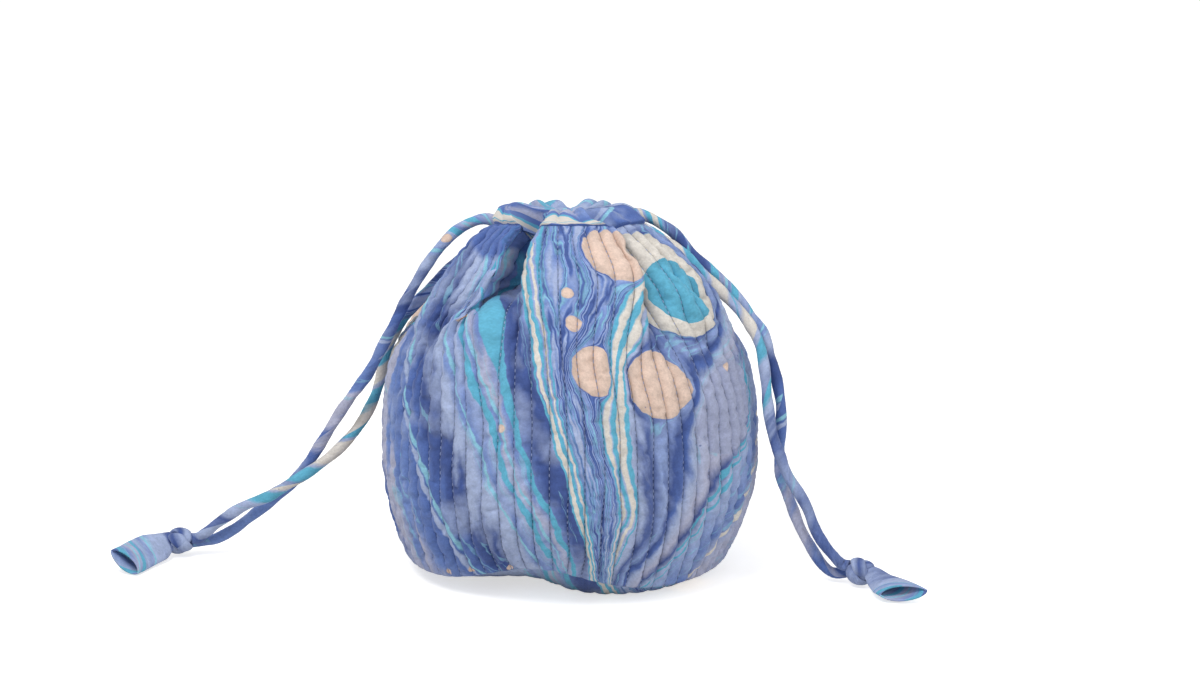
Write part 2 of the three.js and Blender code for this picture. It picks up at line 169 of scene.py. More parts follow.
# Soft streams from left to right: place and colour
SOFT_STREAMS = [
    (0.00, BLUE), (0.035, DEEP), (0.05, LAVENDER), (0.065, LAVENDER), (0.08, BLUE), (0.095, MID),
    (0.14, DEEP), (0.15, NAVY), (0.165, NAVY), (0.183, LIGHT), (0.20, LIGHT), (0.212, BLUE),
    (0.24, LIGHT), (0.255, BLUE), (0.27, LAVENDER), (0.29, BLUE), (0.325, NAVY), (0.355, NAVY),
    (0.369, PERIWINKLE), (0.53, LIGHT), (0.545, NAVY), (0.575, PERIWINKLE), (0.59, NAVY), (0.605, DEEP),
    (0.62, LIGHT), (0.65, LAVENDER), (0.672, NAVY), (0.69, LIGHT), (0.74, PERIWINKLE), (0.78, MID),
    (0.82, LAVENDER), (1.00, BLUE),
]
# Veins along the streams: middle, half width and colour
VEIN_EDGE, VEIN_DRAWN_OUT, VEIN_SWELLS = 0.0012, (1.0, 0.3, 1.0), (0.36, 0.62, 0.4, 1.2)
VEINS = [
    (0.115, 0.0018, LIGHT), (0.121, 0.0015, PALE_CYAN), (0.213, 0.002, PALE_CYAN),
    (0.250, 0.0065, CYAN), (0.268, 0.002, PALE_CYAN), (0.299, 0.009, CYAN), (0.370, 0.003, CYAN),
    (0.379, 0.0055, CREAM), (0.388, 0.0035, CYAN), (0.397, 0.002, CREAM), (0.404, 0.002, CYAN),
    (0.501, 0.002, CYAN), (0.506, 0.003, CREAM), (0.513, 0.0035, CYAN), (0.521, 0.0045, CREAM),
    (0.529, 0.002, CYAN), (0.682, 0.004, CYAN), (0.699, 0.0035, CYAN), (0.80, 0.004, CREAM),
]
# Combed lines in the middle streams: places in the noise that draws them, and colours
COMB_MIDDLE, COMB_HALF, COMB_EDGE = 0.452, 0.043, 0.01
COMB_LINE_WIDTH, COMB_LINE_LENGTH = 0.016, 70.0
THIN_LINE_MIDDLE, THIN_LINE_HALF, THIN_LINE_CORE, THIN_LINE = 0.6, 0.016, 0.006, 0.5
COMBED = [
    (0.26, LAVENDER), (0.33, PERIWINKLE), (0.35, DEEP), (0.39, NAVY), (0.41, BLUE), (0.435, LIGHT),
    (0.455, MID), (0.475, NAVY), (0.495, DEEP), (0.515, PERIWINKLE), (0.54, BLUE), (0.555, PALE_CYAN),
    (0.57, MID), (0.59, NAVY), (0.62, BLUE), (0.68, LIGHT),
]
# Stones in the order that they fell: centre, radius and colour. One of no colour only pushes the streams
# aside.
STONES = [
    ((250, 106), 24, None), ((240, 168), 26, CREAM), ((245, 160), 18, CYAN),
    ((187.5, 181), 17.5, PEACH), ((176.5, 119), 11.5, PEACH), ((208, 114), 17, PEACH),
    ((224, 112), 6.5, PEACH), ((162.5, 142), 4.2, PEACH), ((159.5, 157), 2.6, PEACH),
    ((91, 144), 3, PEACH), ((121, 86), 2.2, PEACH), ((262, 116), 2.4, PEACH), ((92, 5), 1.9, PEACH),
    ((74, 4), 2.2, PEACH), ((118, 3), 2.2, PEACH),
]
STONE_BLOTCH, STONE_RIM, STONE_RIM_SHADE = 0.5, 0.3, 0.84
# A pool of deep blue over the streams
POOL_PLACE, POOL_REACH, POOL_EDGE, POOL_SQUEEZE, POOL = (76, 214, 0), 34.0, 3.0, (0.6, 1.0, 0.0), 0.9
# Grain of the cloth: size, detail, how far it lightens and darkens, and seed
GRAINS = [(6, 4.0, 0.1, 6.5), (1.3, 3.0, 0.1, 7.0), (0.6, 2.0, 0.07, 7.5)]
SPECK_SPACING, SPECK_CORE, SPECK_EDGE, SPECK = 11, 0.03, 0.05, 0.6


def stream_place(tree, across, along):
    """Which stream a place is in, 0 to 1 from left to right: streams rise close together from the start and
    spread, the ones near the middle most. Each side has its distance below the start where the innermost
    streams meet, and how much further down the others do."""
    right = maths(tree, "GREATER_THAN", across, 0.0)
    depth, growth = (map_range(tree, right, 0, 1, *pair) for pair in zip(LEFT_SPREAD, RIGHT_SPREAD))
    aside = maths(tree, "ABSOLUTE", across)
    below = maths(tree, "ADD", depth, maths(tree, "MAXIMUM", along, 0.0))
    slope = maths(tree, "SUBTRACT", below, maths(tree, "MULTIPLY", growth, aside))
    spread = maths(tree, "MULTIPLY", depth, growth)
    product = maths(tree, "MULTIPLY", spread, maths(tree, "MULTIPLY", aside, 4.0))
    root = maths(tree, "SQRT", maths(tree, "ADD", maths(tree, "MULTIPLY", slope, slope), product))
    foot = maths(tree, "DIVIDE", maths(tree, "SUBTRACT", root, slope), maths(tree, "MULTIPLY", growth, 2.0))
    from_core = maths(tree, "ADD", maths(tree, "DIVIDE", foot, STREAM_CORE), 1.0)
    spaced = maths(tree, "LOGARITHM", from_core, math.e)
    signed = maths(tree, "MULTIPLY", spaced, maths(tree, "SIGN", across))
    return maths(tree, "ADD", maths(tree, "DIVIDE", signed, 2 * STREAM_REACH), 0.5)


def marbled_print():
    """Colour of the printed cloth for a place on it in millimetres"""
    sockets, results = {"Place": "Vector"}, {"Colour": "Color"}
    tree, given, made = node_group("marbled_print", "ShaderNodeTree", sockets, results)
    flat = given["Place"]
    place = wander(tree, flat, size=9, reach=1.1, offset=1.0)
    place = wander(tree, place, size=2.2, reach=0.35, offset=2.0)
    stone = stone_group()
    depths = []
    for (x, y), radius, _ in reversed(STONES):
        inputs = {"Place": place, "Centre": (x, y, 0), "Radius": radius}
        drop = add_node(tree, "ShaderNodeGroup", inputs, node_tree=stone).outputs
        place = drop["Place"]
        depths.insert(0, drop["Depth"])
    swept = wander(tree, place, size=80, reach=9, offset=3.0)
    swept = wander(tree, swept, size=26, reach=2.5, offset=4.0)
    across = separate(tree, vector_maths(tree, "SUBTRACT", swept, STREAMS_START))
    lean = map_range(tree, across["Y"], LEAN_FROM, LEAN_TO, 0.0, STREAM_LEAN, "SMOOTHSTEP")
    lean = map_range(tree, across["X"], LEAN_LEFT, LEAN_RIGHT, 0.0, lean, "SMOOTHSTEP")
    stream = stream_place(tree, maths(tree, "SUBTRACT", across["X"], lean), across["Y"])
    drawn_out = vector_maths(tree, "MULTIPLY", swept, DRAWN_OUT)
    feather = centred(tree, noise(tree, drawn_out, size=11, detail=6.0, offset=5.0), FEATHER)
    cloth = ramp(tree, maths(tree, "ADD", stream, feather), SOFT_STREAMS)["Color"]
    clouds = noise(tree, place, size=34, detail=3.0, offset=11.0)
    faded = map_range(tree, clouds, FADE_START, FADE_FULL, 0.0, FADE)
    cloth = blend(tree, faded, cloth, colour(LIGHT))
    uneven = centred(tree, noise(tree, drawn_out, size=5, detail=3.0, offset=12.0), RAGGED)
    ragged = maths(tree, "ADD", stream, uneven)
    line_place = add_node(tree, "ShaderNodeCombineXYZ", {
        0: maths(tree, "DIVIDE", ragged, COMB_LINE_WIDTH),
        1: maths(tree, "DIVIDE", across["Y"], COMB_LINE_LENGTH),
    }).outputs[0]
    lines = noise(tree, line_place, size=1.0, detail=1.2, offset=13.4)
    comb = map_range(tree, apart(tree, stream, COMB_MIDDLE), COMB_HALF + COMB_EDGE, COMB_HALF, 0.0, 1.0)
    cloth = blend(tree, comb, cloth, ramp(tree, lines, COMBED)["Color"])
    from_line = apart(tree, lines, THIN_LINE_MIDDLE)
    thin = map_range(tree, from_line, THIN_LINE_HALF, THIN_LINE_CORE, 0.0, THIN_LINE)
    outside = maths(tree, "LESS_THAN", depths[0], 0.0)
    cloth = blend(tree, maths(tree, "MULTIPLY", thin, outside), cloth, colour(PALE_CYAN))
    swelling = noise(tree, vector_maths(tree, "MULTIPLY", swept, VEIN_DRAWN_OUT), size=16, offset=14.0)
    swelling = map_range(tree, swelling, *VEIN_SWELLS)
    for middle, half_width, code in VEINS:
        reach = maths(tree, "MULTIPLY", swelling, half_width)
        rim = maths(tree, "ADD", reach, VEIN_EDGE)
        vein = map_range(tree, apart(tree, ragged, middle), reach, rim, 1.0, 0.0)
        cloth = blend(tree, vein, cloth, colour(code))
    from_pool = vector_maths(tree, "SUBTRACT", swept, POOL_PLACE)
    from_pool = vector_length(tree, vector_maths(tree, "MULTIPLY", from_pool, POOL_SQUEEZE))
    pool = map_range(tree, from_pool, POOL_REACH, POOL_REACH - POOL_EDGE, 0.0, POOL)
    cloth = blend(tree, pool, cloth, colour(DEEP))
    blotch = centred(tree, noise(tree, flat, size=5, detail=4.0, offset=6.0), STONE_BLOTCH)
    for depth, (_, _, code) in zip(depths, STONES):
        if code:
            from_rim = maths(tree, "ADD", depth, blotch)
            shade = map_range(tree, from_rim, 0.0, STONE_RIM, STONE_RIM_SHADE, 1.0)
            shaded = blend(tree, 1.0, colour(code), shade, "MULTIPLY")
            cloth = blend(tree, maths(tree, "GREATER_THAN", depth, 0.0), cloth, shaded)
    for size, detail, reach, offset in GRAINS:
        grain = map_range(tree, noise(tree, flat, size, detail, offset), 0.3, 0.7, 1 - reach, 1 + reach)
        cloth = blend(tree, 1.0, cloth, grain, "MULTIPLY")
    dots = add_node(tree, "ShaderNodeTexVoronoi", {"Vector": flat, "Scale": 1 / SPECK_SPACING})
    speck = map_range(tree, dots.outputs["Distance"], SPECK_CORE, SPECK_EDGE, SPECK, 0.0)
    tree.links.new(blend(tree, speck, cloth, colour(NAVY)), made["Colour"])
    return tree


PRINT = marbled_print()
THREAD_PITCH = 0.55
# Painted shade: how far the cloth colour is darkened along each stitch row, for the shadow in the groove
PAINTED_GROOVE_CORE, PAINTED_GROOVE_EDGE, PAINTED_GROOVE_SHADE = 0.02, 0.05, 0.56
EDGE_LINE_WAVE, EDGE_END_WAVE = 0.16, 0.1


def printed_cotton(name, uv_size, cut_place, cut_turn=0.0, channels=0, edge_lines=None, edge_end=1.0):
    """Cloth material: the print where the piece was cut, weave and soft nap, with painted shade darkening
    the stitch grooves on quilting, and lines of colour along the edge of a band"""
    material = bpy.data.materials.new(name)
    material.use_nodes = True
    tree = material.node_tree
    uv = add_node(tree, "ShaderNodeUVMap", {}, uv_map="cloth").outputs[0]
    on_piece = separate(tree, uv)
    flat = vector_maths(tree, "MULTIPLY", uv, (*uv_size, 0))
    turn = {"Vector": flat, "Location": (*cut_place, 0), "Rotation": (0, 0, math.radians(cut_turn))}
    place = add_node(tree, "ShaderNodeMapping", turn).outputs[0]
    cloth = add_node(tree, "ShaderNodeGroup", {"Place": place}, node_tree=PRINT).outputs["Colour"]
    if edge_lines:
        uneven = noise(tree, flat, size=26, detail=3.0, offset=10.0)
        height = maths(tree, "ADD", on_piece["Y"], centred(tree, uneven, EDGE_LINE_WAVE))
        along = maths(tree, "ADD", on_piece["X"], centred(tree, uneven, EDGE_END_WAVE))
        lines = ramp(tree, height, edge_lines, "CONSTANT")
        shown = maths(tree, "MULTIPLY", lines["Alpha"], maths(tree, "LESS_THAN", along, edge_end))
        cloth = blend(tree, shown, cloth, lines["Color"])
    if channels:
        count = maths(tree, "MULTIPLY", on_piece["X"], channels)
        aside = apart(tree, count, maths(tree, "ROUND", count))
        # Painted shade: the colour is darkened in a narrow line along each stitch row, where the groove is
        # in shadow
        painted_groove_shade = map_range(tree, aside, PAINTED_GROOVE_CORE, PAINTED_GROOVE_EDGE, PAINTED_GROOVE_SHADE, 1.0)
        cloth = blend(tree, 1.0, cloth, painted_groove_shade, "MULTIPLY")
    threads = separate(tree, scaled(tree, flat, 2 * math.pi / THREAD_PITCH))
    weave = maths(tree, "MULTIPLY", maths(tree, "SINE", threads["X"]), maths(tree, "SINE", threads["Y"]))
    weave = add_node(tree, "ShaderNodeBump", {"Height": weave, "Strength": 0.35, "Distance": 0.06 * MM})
    fluff = noise(tree, flat, size=1.6, detail=4.0, offset=8.0)
    nap = {"Height": fluff, "Strength": 0.5, "Distance": 0.35 * MM, "Normal": weave.outputs[0]}
    rough = map_range(tree, noise(tree, flat, size=12, offset=9.0), 0, 1, 0.82, 0.96)
    shader = tree.nodes["Principled BSDF"]
    tree.links.new(cloth, shader.inputs["Base Color"])
    tree.links.new(add_node(tree, "ShaderNodeBump", nap).outputs[0], shader.inputs["Normal"])
    tree.links.new(rough, shader.inputs["Roughness"])
    shader.inputs["Specular IOR Level"].default_value = 0.2
    shader.inputs["Sheen Weight"].default_value = 0.12
    shader.inputs["Sheen Roughness"].default_value = 0.5
    return material


# Quilted wall: a front and a back half of printed cotton over thin wadding and a lining, joined at the
# sides. Rows of running stitch hold the layers in channels that puff up between them, and the drawstrings
# pull the top in, so the channels crowd together and fold into lobes with deep creases between them.
CHANNELS = 68
BELLY_RADIUS, BELLY_HEIGHT, BELLY_SHARE = 99.0, 66.0, 0.31
SHOULDER_POWER, LOWER_WALL_POWER = 2.2, 2.2
BASE_SEAM_RADIUS, BASE_SEAM_HEIGHT = 82.5, 6.6
TUCK_ANGLE, TUCK_WIDTH, TUCK_LIFT, TUCK_DEPTH = -102.0, 28.0, 13.0, 5.0
SAG_ANGLE, SAG_WIDTH, SAG_V, SAG_HEIGHT, SAG_DEPTH = -165.0, 35.0, 0.025, 0.045, 2.4
MOUTH_HEIGHT, CREST_RADIUS, VALLEY_RADIUS, VALLEY_DROP, MOUTH_TILT = 187.0, 44.0, 23.8, 12.0, 0.13
GATHER_START, FOLD_FULL = 0.41, 0.86
LOBE_BULGE = 3.0
SEAM_GAP, WALL_THICKNESS, WALL_LENGTH = 0.3, 2.8, 205.0
CHANNEL_WIDTH = 2 * math.pi * BELLY_RADIUS / CHANNELS
# Folds of the drawn mouth: channel, angle, 1 on a crest or 0 in a crease, and where up the wall it starts
FOLDS = [
    (0.7, -162, 0, 0.48), (3.8, -150, 1, 0.48), (9.2, -121, 1, 0.6), (12.0, -137, 0, 0.65),
    (13.0, -115, 0, 0.65), (15.4, -109, 1, 0.62), (21.4, -60, 1, 0.54), (24.0, -68, 0.25, 0.5),
    (27.6, -45, 1, 0.48), (31.2, -26, 1, 0.48), (33.3, -18, 0, 0.48), (34.7, 2, 0, 0.48),
    (37.6, 24, 0.65, 0.48), (40.4, 39, 1, 0.48), (42.85, 46, 0, 0.48), (45.3, 53, 1, 0.48),
    (48.5, 78, 1, 0.48), (51.0, 86, 0, 0.48), (53.4, 96, 1, 0.48), (56.7, 127, 1, 0.48),
    (59.15, 134, 0, 0.48), (61.6, 141, 1, 0.48), (64.9, 156, 0.65, 0.48), (67.3, 178, 0, 0.48),
    (68.7, 198, 0, 0.48),
]
FOLD_ROUNDING = 0.6
HOLLOW_CHANNEL, HOLLOW_V, HOLLOW_WIDTH, HOLLOW_HEIGHT, HOLLOW_DEPTH = 12.4, 0.85, 1.7, 0.08, 10.0
UV_HEIGHT = 215.0


def smooth(x, start, end):
    """Rises from 0 to 1 while x goes from start to end, with soft ends"""
    t = np.clip((x - start) / (end - start), 0, 1)
    return t * t * (3 - 2 * t)


def lumps(x, y, seed):
    """Smooth random values from -1 to 1, one lump for each unit of x and y"""
    x, y = np.broadcast_arrays(x, y)
    lattice = np.random.default_rng(seed).uniform(-1, 1, (97, 97))
    i, j = np.floor(x).astype(int), np.floor(y).astype(int)
    s, t = smooth(x - i, 0, 1), smooth(y - j, 0, 1)
    i, j = i % 97, j % 97
    i2, j2 = (i + 1) % 97, (j + 1) % 97
    low = lattice[i, j] * (1 - s) + lattice[i2, j] * s
    high = lattice[i, j2] * (1 - s) + lattice[i2, j2] * s
    return low * (1 - t) + high * t


FOLD_CHANNELS, FOLD_ANGLES, FOLD_CRESTS, FOLD_STARTS = np.array(FOLDS, float).T
IN_CREASE = FOLD_CRESTS < 0.5


def round_mouth(channel, channels, values, turn):
    """Values given at some channels, between those, with turn added for each time round"""
    channels = np.concatenate([channels[:-1] + k * CHANNELS for k in (-1, 0, 1)])
    values = np.concatenate([values[:-1] + k * turn for k in (-1, 0, 1)])
    return np.interp(channel, channels, values)


def lobe_place(channel):
    """Which lobe of the drawn mouth a place in channels is in, and how far across it, 0 to 1"""
    starts = FOLD_CHANNELS[IN_CREASE]
    c = np.where(channel < starts[0], channel + CHANNELS, channel)
    i = np.clip(np.searchsorted(starts, c, side="right") - 1, 0, len(starts) - 2)
    return i, (c - starts[i]) / (starts[i + 1] - starts[i])


def mouth_place(channel):
    """For a place in channels: its angle round the mouth, how far its lobe's edges are drawn over the
    creases, and its share of the lobe's height, 0 in a crease"""
    angle = round_mouth(channel, FOLD_CHANNELS[IN_CREASE], FOLD_ANGLES[IN_CREASE], 360)
    near = np.asarray(channel)[..., None] + np.linspace(-FOLD_ROUNDING, FOLD_ROUNDING, 5)
    folded = round_mouth(near, FOLD_CHANNELS, FOLD_ANGLES, 360).mean(axis=-1)
    crest = round_mouth(near, FOLD_CHANNELS, FOLD_CRESTS, 0).mean(axis=-1)
    return angle, folded - angle, smooth(crest, 0, 1)


def wall_point(channel, v):
    """Smooth outer surface of the wall, v running from the base seam up to the casing seam"""
    belly_angle = -180 + 360 * channel / CHANNELS
    mouth_angle, drawn, crest = mouth_place(channel)
    gather = smooth(v, GATHER_START, 1)
    fold = smooth(v, round_mouth(channel, FOLD_CHANNELS, FOLD_STARTS, 0), FOLD_FULL)
    angle = np.radians(belly_angle + (mouth_angle - belly_angle) * gather + drawn * fold)
    down = np.clip(1 - v / BELLY_SHARE, 0, 1)
    low = np.exp(-(((belly_angle - TUCK_ANGLE) / TUCK_WIDTH) ** 2)) * down ** 2
    full_turn = math.acos(CREST_RADIUS / BELLY_RADIUS)
    turn = full_turn * np.clip((v - BELLY_SHARE) / (1 - BELLY_SHARE), 0, 1)
    rise = (np.sin(turn) / math.sin(full_turn)) ** (2 / SHOULDER_POWER)
    lower_height = BELLY_HEIGHT + (BASE_SEAM_HEIGHT - BELLY_HEIGHT) * down + TUCK_LIFT * low
    upper_height = BELLY_HEIGHT + (MOUTH_HEIGHT - BELLY_HEIGHT) * rise
    narrowing = (BELLY_RADIUS - BASE_SEAM_RADIUS) * down ** LOWER_WALL_POWER
    sag = ((belly_angle - SAG_ANGLE) / SAG_WIDTH) ** 2 + ((v - SAG_V) / SAG_HEIGHT) ** 2
    lower_radius = BELLY_RADIUS - narrowing - TUCK_DEPTH * low + SAG_DEPTH * np.exp(-sag)
    below = v < BELLY_SHARE
    height = np.where(below, lower_height, upper_height)
    radius = np.where(below, lower_radius, BELLY_RADIUS * np.cos(turn))
    bulge = LOBE_BULGE * fold * (1 - smooth(v, FOLD_FULL, 1))
    radius = radius + bulge * crest - (CREST_RADIUS - VALLEY_RADIUS) * fold * (1 - crest)
    hollow = ((channel - HOLLOW_CHANNEL) / HOLLOW_WIDTH) ** 2 + ((v - HOLLOW_V) / HOLLOW_HEIGHT) ** 2
    radius = radius - HOLLOW_DEPTH * np.exp(-hollow)
    height = height - VALLEY_DROP * fold * (1 - crest)
    y = radius * np.sin(angle)
    return np.stack([radius * np.cos(angle), y, height - MOUTH_TILT * y * gather], axis=-1)


def unit(vectors):
    return vectors / np.linalg.norm(vectors, axis=-1, keepdims=True)


def wall_normal(channel, v):
    across = wall_point(channel + 0.05, v) - wall_point(channel - 0.05, v)
    up = wall_point(channel, np.minimum(v + 0.002, 1)) - wall_point(channel, np.maximum(v - 0.002, 0))
    return unit(np.cross(across, up))


def run_length(points):
    """Distance along rows of points"""
    steps = np.linalg.norm(np.diff(points, axis=-2), axis=-1)
    return np.concatenate([np.zeros((*steps.shape[:-1], 1)), np.cumsum(steps, axis=-1)], axis=-1)


def add_object(name, data):
    thing = bpy.data.objects.new(name, data)
    bpy.context.scene.collection.objects.link(thing)
    return thing


def loft(name, rings, u, v, material, closed=False, cap="fan"):
    """A closed piece from a row of rings of points. u is one value for each ring, and v one for each point
    and one more: the cloth's UV. The ends are joined if closed, or else capped by fans or, on a flat ring,
    by bars across it."""
    count, sides = rings.shape[:2]
    points = rings.reshape(-1, 3)
    last = count if closed else count - 1
    i, k = np.meshgrid(np.arange(last), np.arange(sides), indexing="ij")
    j, m = i + 1, k + 1
    corner = [(i, k), (j, k), (j, m), (i, m)]
    faces = np.stack([(a % count) * sides + b % sides for a, b in corner], axis=-1).reshape(-1, 4)
    v = np.broadcast_to(v, (count, sides + 1))
    u = np.asarray(u)
    uv = np.stack([np.stack([u[a], v[a % count, b]], axis=-1) for a, b in corner], axis=-2).reshape(-1, 2)
    faces = faces.tolist()
    uv = [uv]
    for ring, flip in ((0, False), (count - 1, True)):
        if closed:
            break
        start = ring * sides
        if cap == "bars":
            far = start + sides - 1
            added = [[start + a, start + a + 1, far - 1 - a, far - a] for a in range(sides // 2 - 1)]
        else:
            points = np.vstack([points, rings[ring].mean(axis=0)])
            added = [[start + a, start + (a + 1) % sides, len(points) - 1] for a in range(sides)]
        if flip:
            added = [face[::-1] for face in added]
        faces += added
        uv.append(np.tile([u[ring], v[ring].mean()], (sum(map(len, added)), 1)))
    mesh = bpy.data.meshes.new(name)
    mesh.from_pydata((points * MM).tolist(), [], faces)
    mesh.uv_layers.new(name="cloth").data.foreach_set("uv", np.vstack(uv).astype(np.float32).ravel())
    mesh.polygons.foreach_set("use_smooth", np.ones(len(mesh.polygons), bool))
    mesh.materials.append(material)
    return add_object(name, mesh)


WALL_ROWS = 206
ACROSS_CHANNEL = np.array([0, 0.05, 0.17, 0.37, 0.63, 0.83, 0.95])
PUFF, CROWDED_PUFF, PUFF_SHARE, PUFF_POWERS = 1.9, 2.6, 0.68, (2.1, 0.7)
UNEVEN_PUFF, CRUMPLE, CROWDED_CRUMPLE = 0.22, 0.14, 0.32
PUCKER, PUCKER_REACH, STITCH_REACH, PUCKERS_UP_WALL = 0.75, 0.3, 0.08, 44
SWELL, STITCH_WOBBLE = 1.6, 0.1
# Slack creases that run down from the gathers: from and to in channels and v, depth and width
DRAG_BEND, RIDGE_SHARE, RIDGE_ASIDE, RIDGE_WIDTH = 0.35, 0.45, 1.4, 1.1
DRAG_FOLDS = [
    ((11.9, 0.86), (7.6, 0.73), 2.4, 0.3), ((11.9, 0.82), (8.4, 0.66), 2.4, 0.3),
    ((12.0, 0.78), (9.6, 0.62), 2.0, 0.3), ((14.6, 0.78), (13.0, 0.58), 1.6, 0.3),
    ((9.6, 0.82), (5.0, 0.5), 3.6, 0.55), ((25.5, 0.78), (28.5, 0.5), 3.0, 0.5),
    ((27.3, 0.84), (30.0, 0.6), 2.2, 0.5), ((6.4, 0.42), (9.2, 0.47), 0.9, 0.5),
    ((7.2, 0.36), (10.4, 0.39), 0.8, 0.45), ((24.4, 0.42), (28.2, 0.36), 0.8, 0.6),
    ((43.0, 0.8), (40.5, 0.5), 2.6, 0.6), ((59.0, 0.8), (62.0, 0.52), 2.6, 0.6),
    ((51.0, 0.6), (53.0, 0.45), 1.6, 0.6),
]


def drag_folds(channel, v):
    """How far the cloth dips along the slack creases, with a low ridge beside each"""
    dip = np.zeros(np.broadcast(channel, v).shape)
    rows_per_channel = WALL_LENGTH / CHANNEL_WIDTH
    for (channel_a, v_a), (channel_b, v_b), depth, width in DRAG_FOLDS:
        along_c, along_v = channel_b - channel_a, (v_b - v_a) * rows_per_channel
        length = math.hypot(along_c, along_v)
        c, r = channel - channel_a, (v - v_a) * rows_per_channel
        t = (c * along_c + r * along_v) / length**2
        aside = (c * along_v - r * along_c) / length
        bend = aside + DRAG_BEND * np.sin(np.pi * np.clip(t, 0, 1))
        taper = smooth(t, -0.08, 0.25) * smooth(1 - t, -0.08, 0.4)
        ridge = RIDGE_SHARE * np.exp(-(((bend + RIDGE_ASIDE) / RIDGE_WIDTH) ** 2))
        dip = dip + depth * taper * (np.exp(-((bend / width) ** 2)) - ridge)
    return dip


def pillow(place, roundness, fullness):
    """Height of stuffed channels, 0 at the seams, where place is a whole number, and 1 midway"""
    across = place - np.floor(place)
    return (1 - np.abs(2 * across - 1) ** roundness) ** fullness


def quilted_surface(channel, v):
    """Outer face of the quilting: puffed channels with puckers beside the stitch rows, slow swells and
    creases"""
    wobble = STITCH_WOBBLE * lumps(channel * 0.9, v * 9, 11)
    smooth_wall = wall_point(channel + wobble, v)
    normal = wall_normal(channel + wobble, v)
    pitch = np.linalg.norm(wall_point(channel + 0.2, v) - wall_point(channel - 0.2, v), axis=-1) / 0.4
    across = channel - np.floor(channel)
    aside = np.minimum(across, 1 - across)
    puff = pillow(channel, *PUFF_POWERS)
    crowding = np.clip(1 - pitch / CHANNEL_WIDTH, 0, 0.8)
    fullness = 1 + UNEVEN_PUFF * lumps(np.floor(channel) * 1.7, v * 10, 12)
    crumple = CRUMPLE + CROWDED_CRUMPLE * crowding
    fullness = fullness + crumple * lumps(np.floor(channel) * 2.9, v * 25, 15)
    edge = 0.1 + 0.9 * smooth(v, 0, 0.05) * smooth(1 - v, 0, 0.03)
    lift = (PUFF + CROWDED_PUFF * crowding) * (puff * fullness - PUFF_SHARE) * edge
    beside = np.exp(-((aside / PUCKER_REACH) ** 2)) * (1 - np.exp(-((aside / STITCH_REACH) ** 2)))
    row = np.round(channel)
    side = np.where(across < 0.5, 0.37, 0.0)
    lift = lift + PUCKER * beside * edge * lumps(row * 3.3 + side * 7, v * PUCKERS_UP_WALL, 13)
    slack = smooth(v, 0, 0.1) * smooth(1 - v, 0, 0.25)
    lift = lift + SWELL * lumps(channel * 0.21, v * 3.4, 14) * slack - drag_folds(channel, v)
    return smooth_wall + normal * lift[..., None]


SIM_ACROSS, SIM_ROWS, SIM_SCALE, SIM_FRAMES = 4, 121, 0.05, 16
CLOTH_GROWTH, CLOTH_PRESSURE, CLOTH_REACH = 0.1, 0.8, 2.2


def settled(first, last):
    """How far the loose cloth between the stitch rows moves as it settles: cloth a little too big for its
    place, held along the rows and at its edges, puffed from inside. Gives places in channels, places in v,
    and the moves."""
    columns = np.linspace(first, last, (last - first) * SIM_ACROSS + 1)
    rows = np.linspace(0, 1, SIM_ROWS)
    channel, v = np.meshgrid(columns, rows, indexing="ij")
    start = quilted_surface(channel, v)
    i, j = np.meshgrid(np.arange(len(columns) - 1), np.arange(SIM_ROWS - 1), indexing="ij")
    corner = (i * SIM_ROWS + j).ravel()
    faces = np.stack([corner, corner + SIM_ROWS, corner + SIM_ROWS + 1, corner + 1], axis=-1)
    mesh = bpy.data.meshes.new("settling")
    mesh.from_pydata((start.reshape(-1, 3) * SIM_SCALE).tolist(), [], faces.tolist())
    cloth = add_object("settling", mesh)
    scene = bpy.context.scene
    held = (channel == np.round(channel)) | (v == 0) | (v == 1)
    cloth.vertex_groups.new(name="held").add(np.flatnonzero(held).tolist(), 1.0, "REPLACE")
    modifier = cloth.modifiers.new("cloth", "CLOTH")
    modifier.settings.vertex_group_mass = "held"
    modifier.settings.shrink_min = -CLOTH_GROWTH
    modifier.settings.use_pressure = True
    modifier.settings.uniform_pressure_force = CLOTH_PRESSURE
    modifier.settings.effector_weights.gravity = 0
    modifier.collision_settings.use_collision = False
    for step in range(1, SIM_FRAMES + 1):
        scene.frame_set(step)
    made = cloth.evaluated_get(bpy.context.evaluated_depsgraph_get()).data
    places = np.zeros(3 * len(made.vertices), np.float32)
    made.vertices.foreach_get("co", places)
    moves = places.reshape(start.shape) / SIM_SCALE - start
    moves = moves / np.maximum(np.linalg.norm(moves, axis=-1, keepdims=True) / CLOTH_REACH, 1)
    bpy.data.objects.remove(cloth)
    scene.frame_set(1)
    return columns, rows, moves


def between(columns, rows, values, channel, v):
    """Values given on a grid of columns and rows, at places between those"""
    i = np.clip(np.searchsorted(columns, channel, side="right") - 1, 0, len(columns) - 2)
    j = np.clip(np.searchsorted(rows, v, side="right") - 1, 0, len(rows) - 2)
    s = ((channel - columns[i]) / (columns[i + 1] - columns[i]))[..., None]
    t = ((v - rows[j]) / (rows[j + 1] - rows[j]))[..., None]
    low = values[i, j] * (1 - s) + values[i + 1, j] * s
    high = values[i, j + 1] * (1 - s) + values[i + 1, j + 1] * s
    return low * (1 - t) + high * t


def quilted_half(name, first, last, material):
    spacing = SEAM_GAP / 2 / CHANNEL_WIDTH
    columns = (np.arange(first, last)[:, None] + ACROSS_CHANNEL).ravel()
    columns = np.clip(np.append(columns, last), first + spacing, last - spacing)
    rows = np.linspace(0, 1, WALL_ROWS)
    channel, v = np.meshgrid(columns, rows, indexing="ij")
    outer = quilted_surface(channel, v) + between(*settled(first, last), channel, v)
    inner = wall_point(channel, v) - WALL_THICKNESS * wall_normal(channel, v)
    length = run_length(wall_point(channel, v)) / UV_HEIGHT
    ring_v = np.concatenate([length, length[:, ::-1], length[:, :1]], axis=1)
    rings = np.concatenate([outer, inner[:, ::-1]], axis=1)
    return loft(name, rings, columns / CHANNELS, ring_v, material, cap="bars")


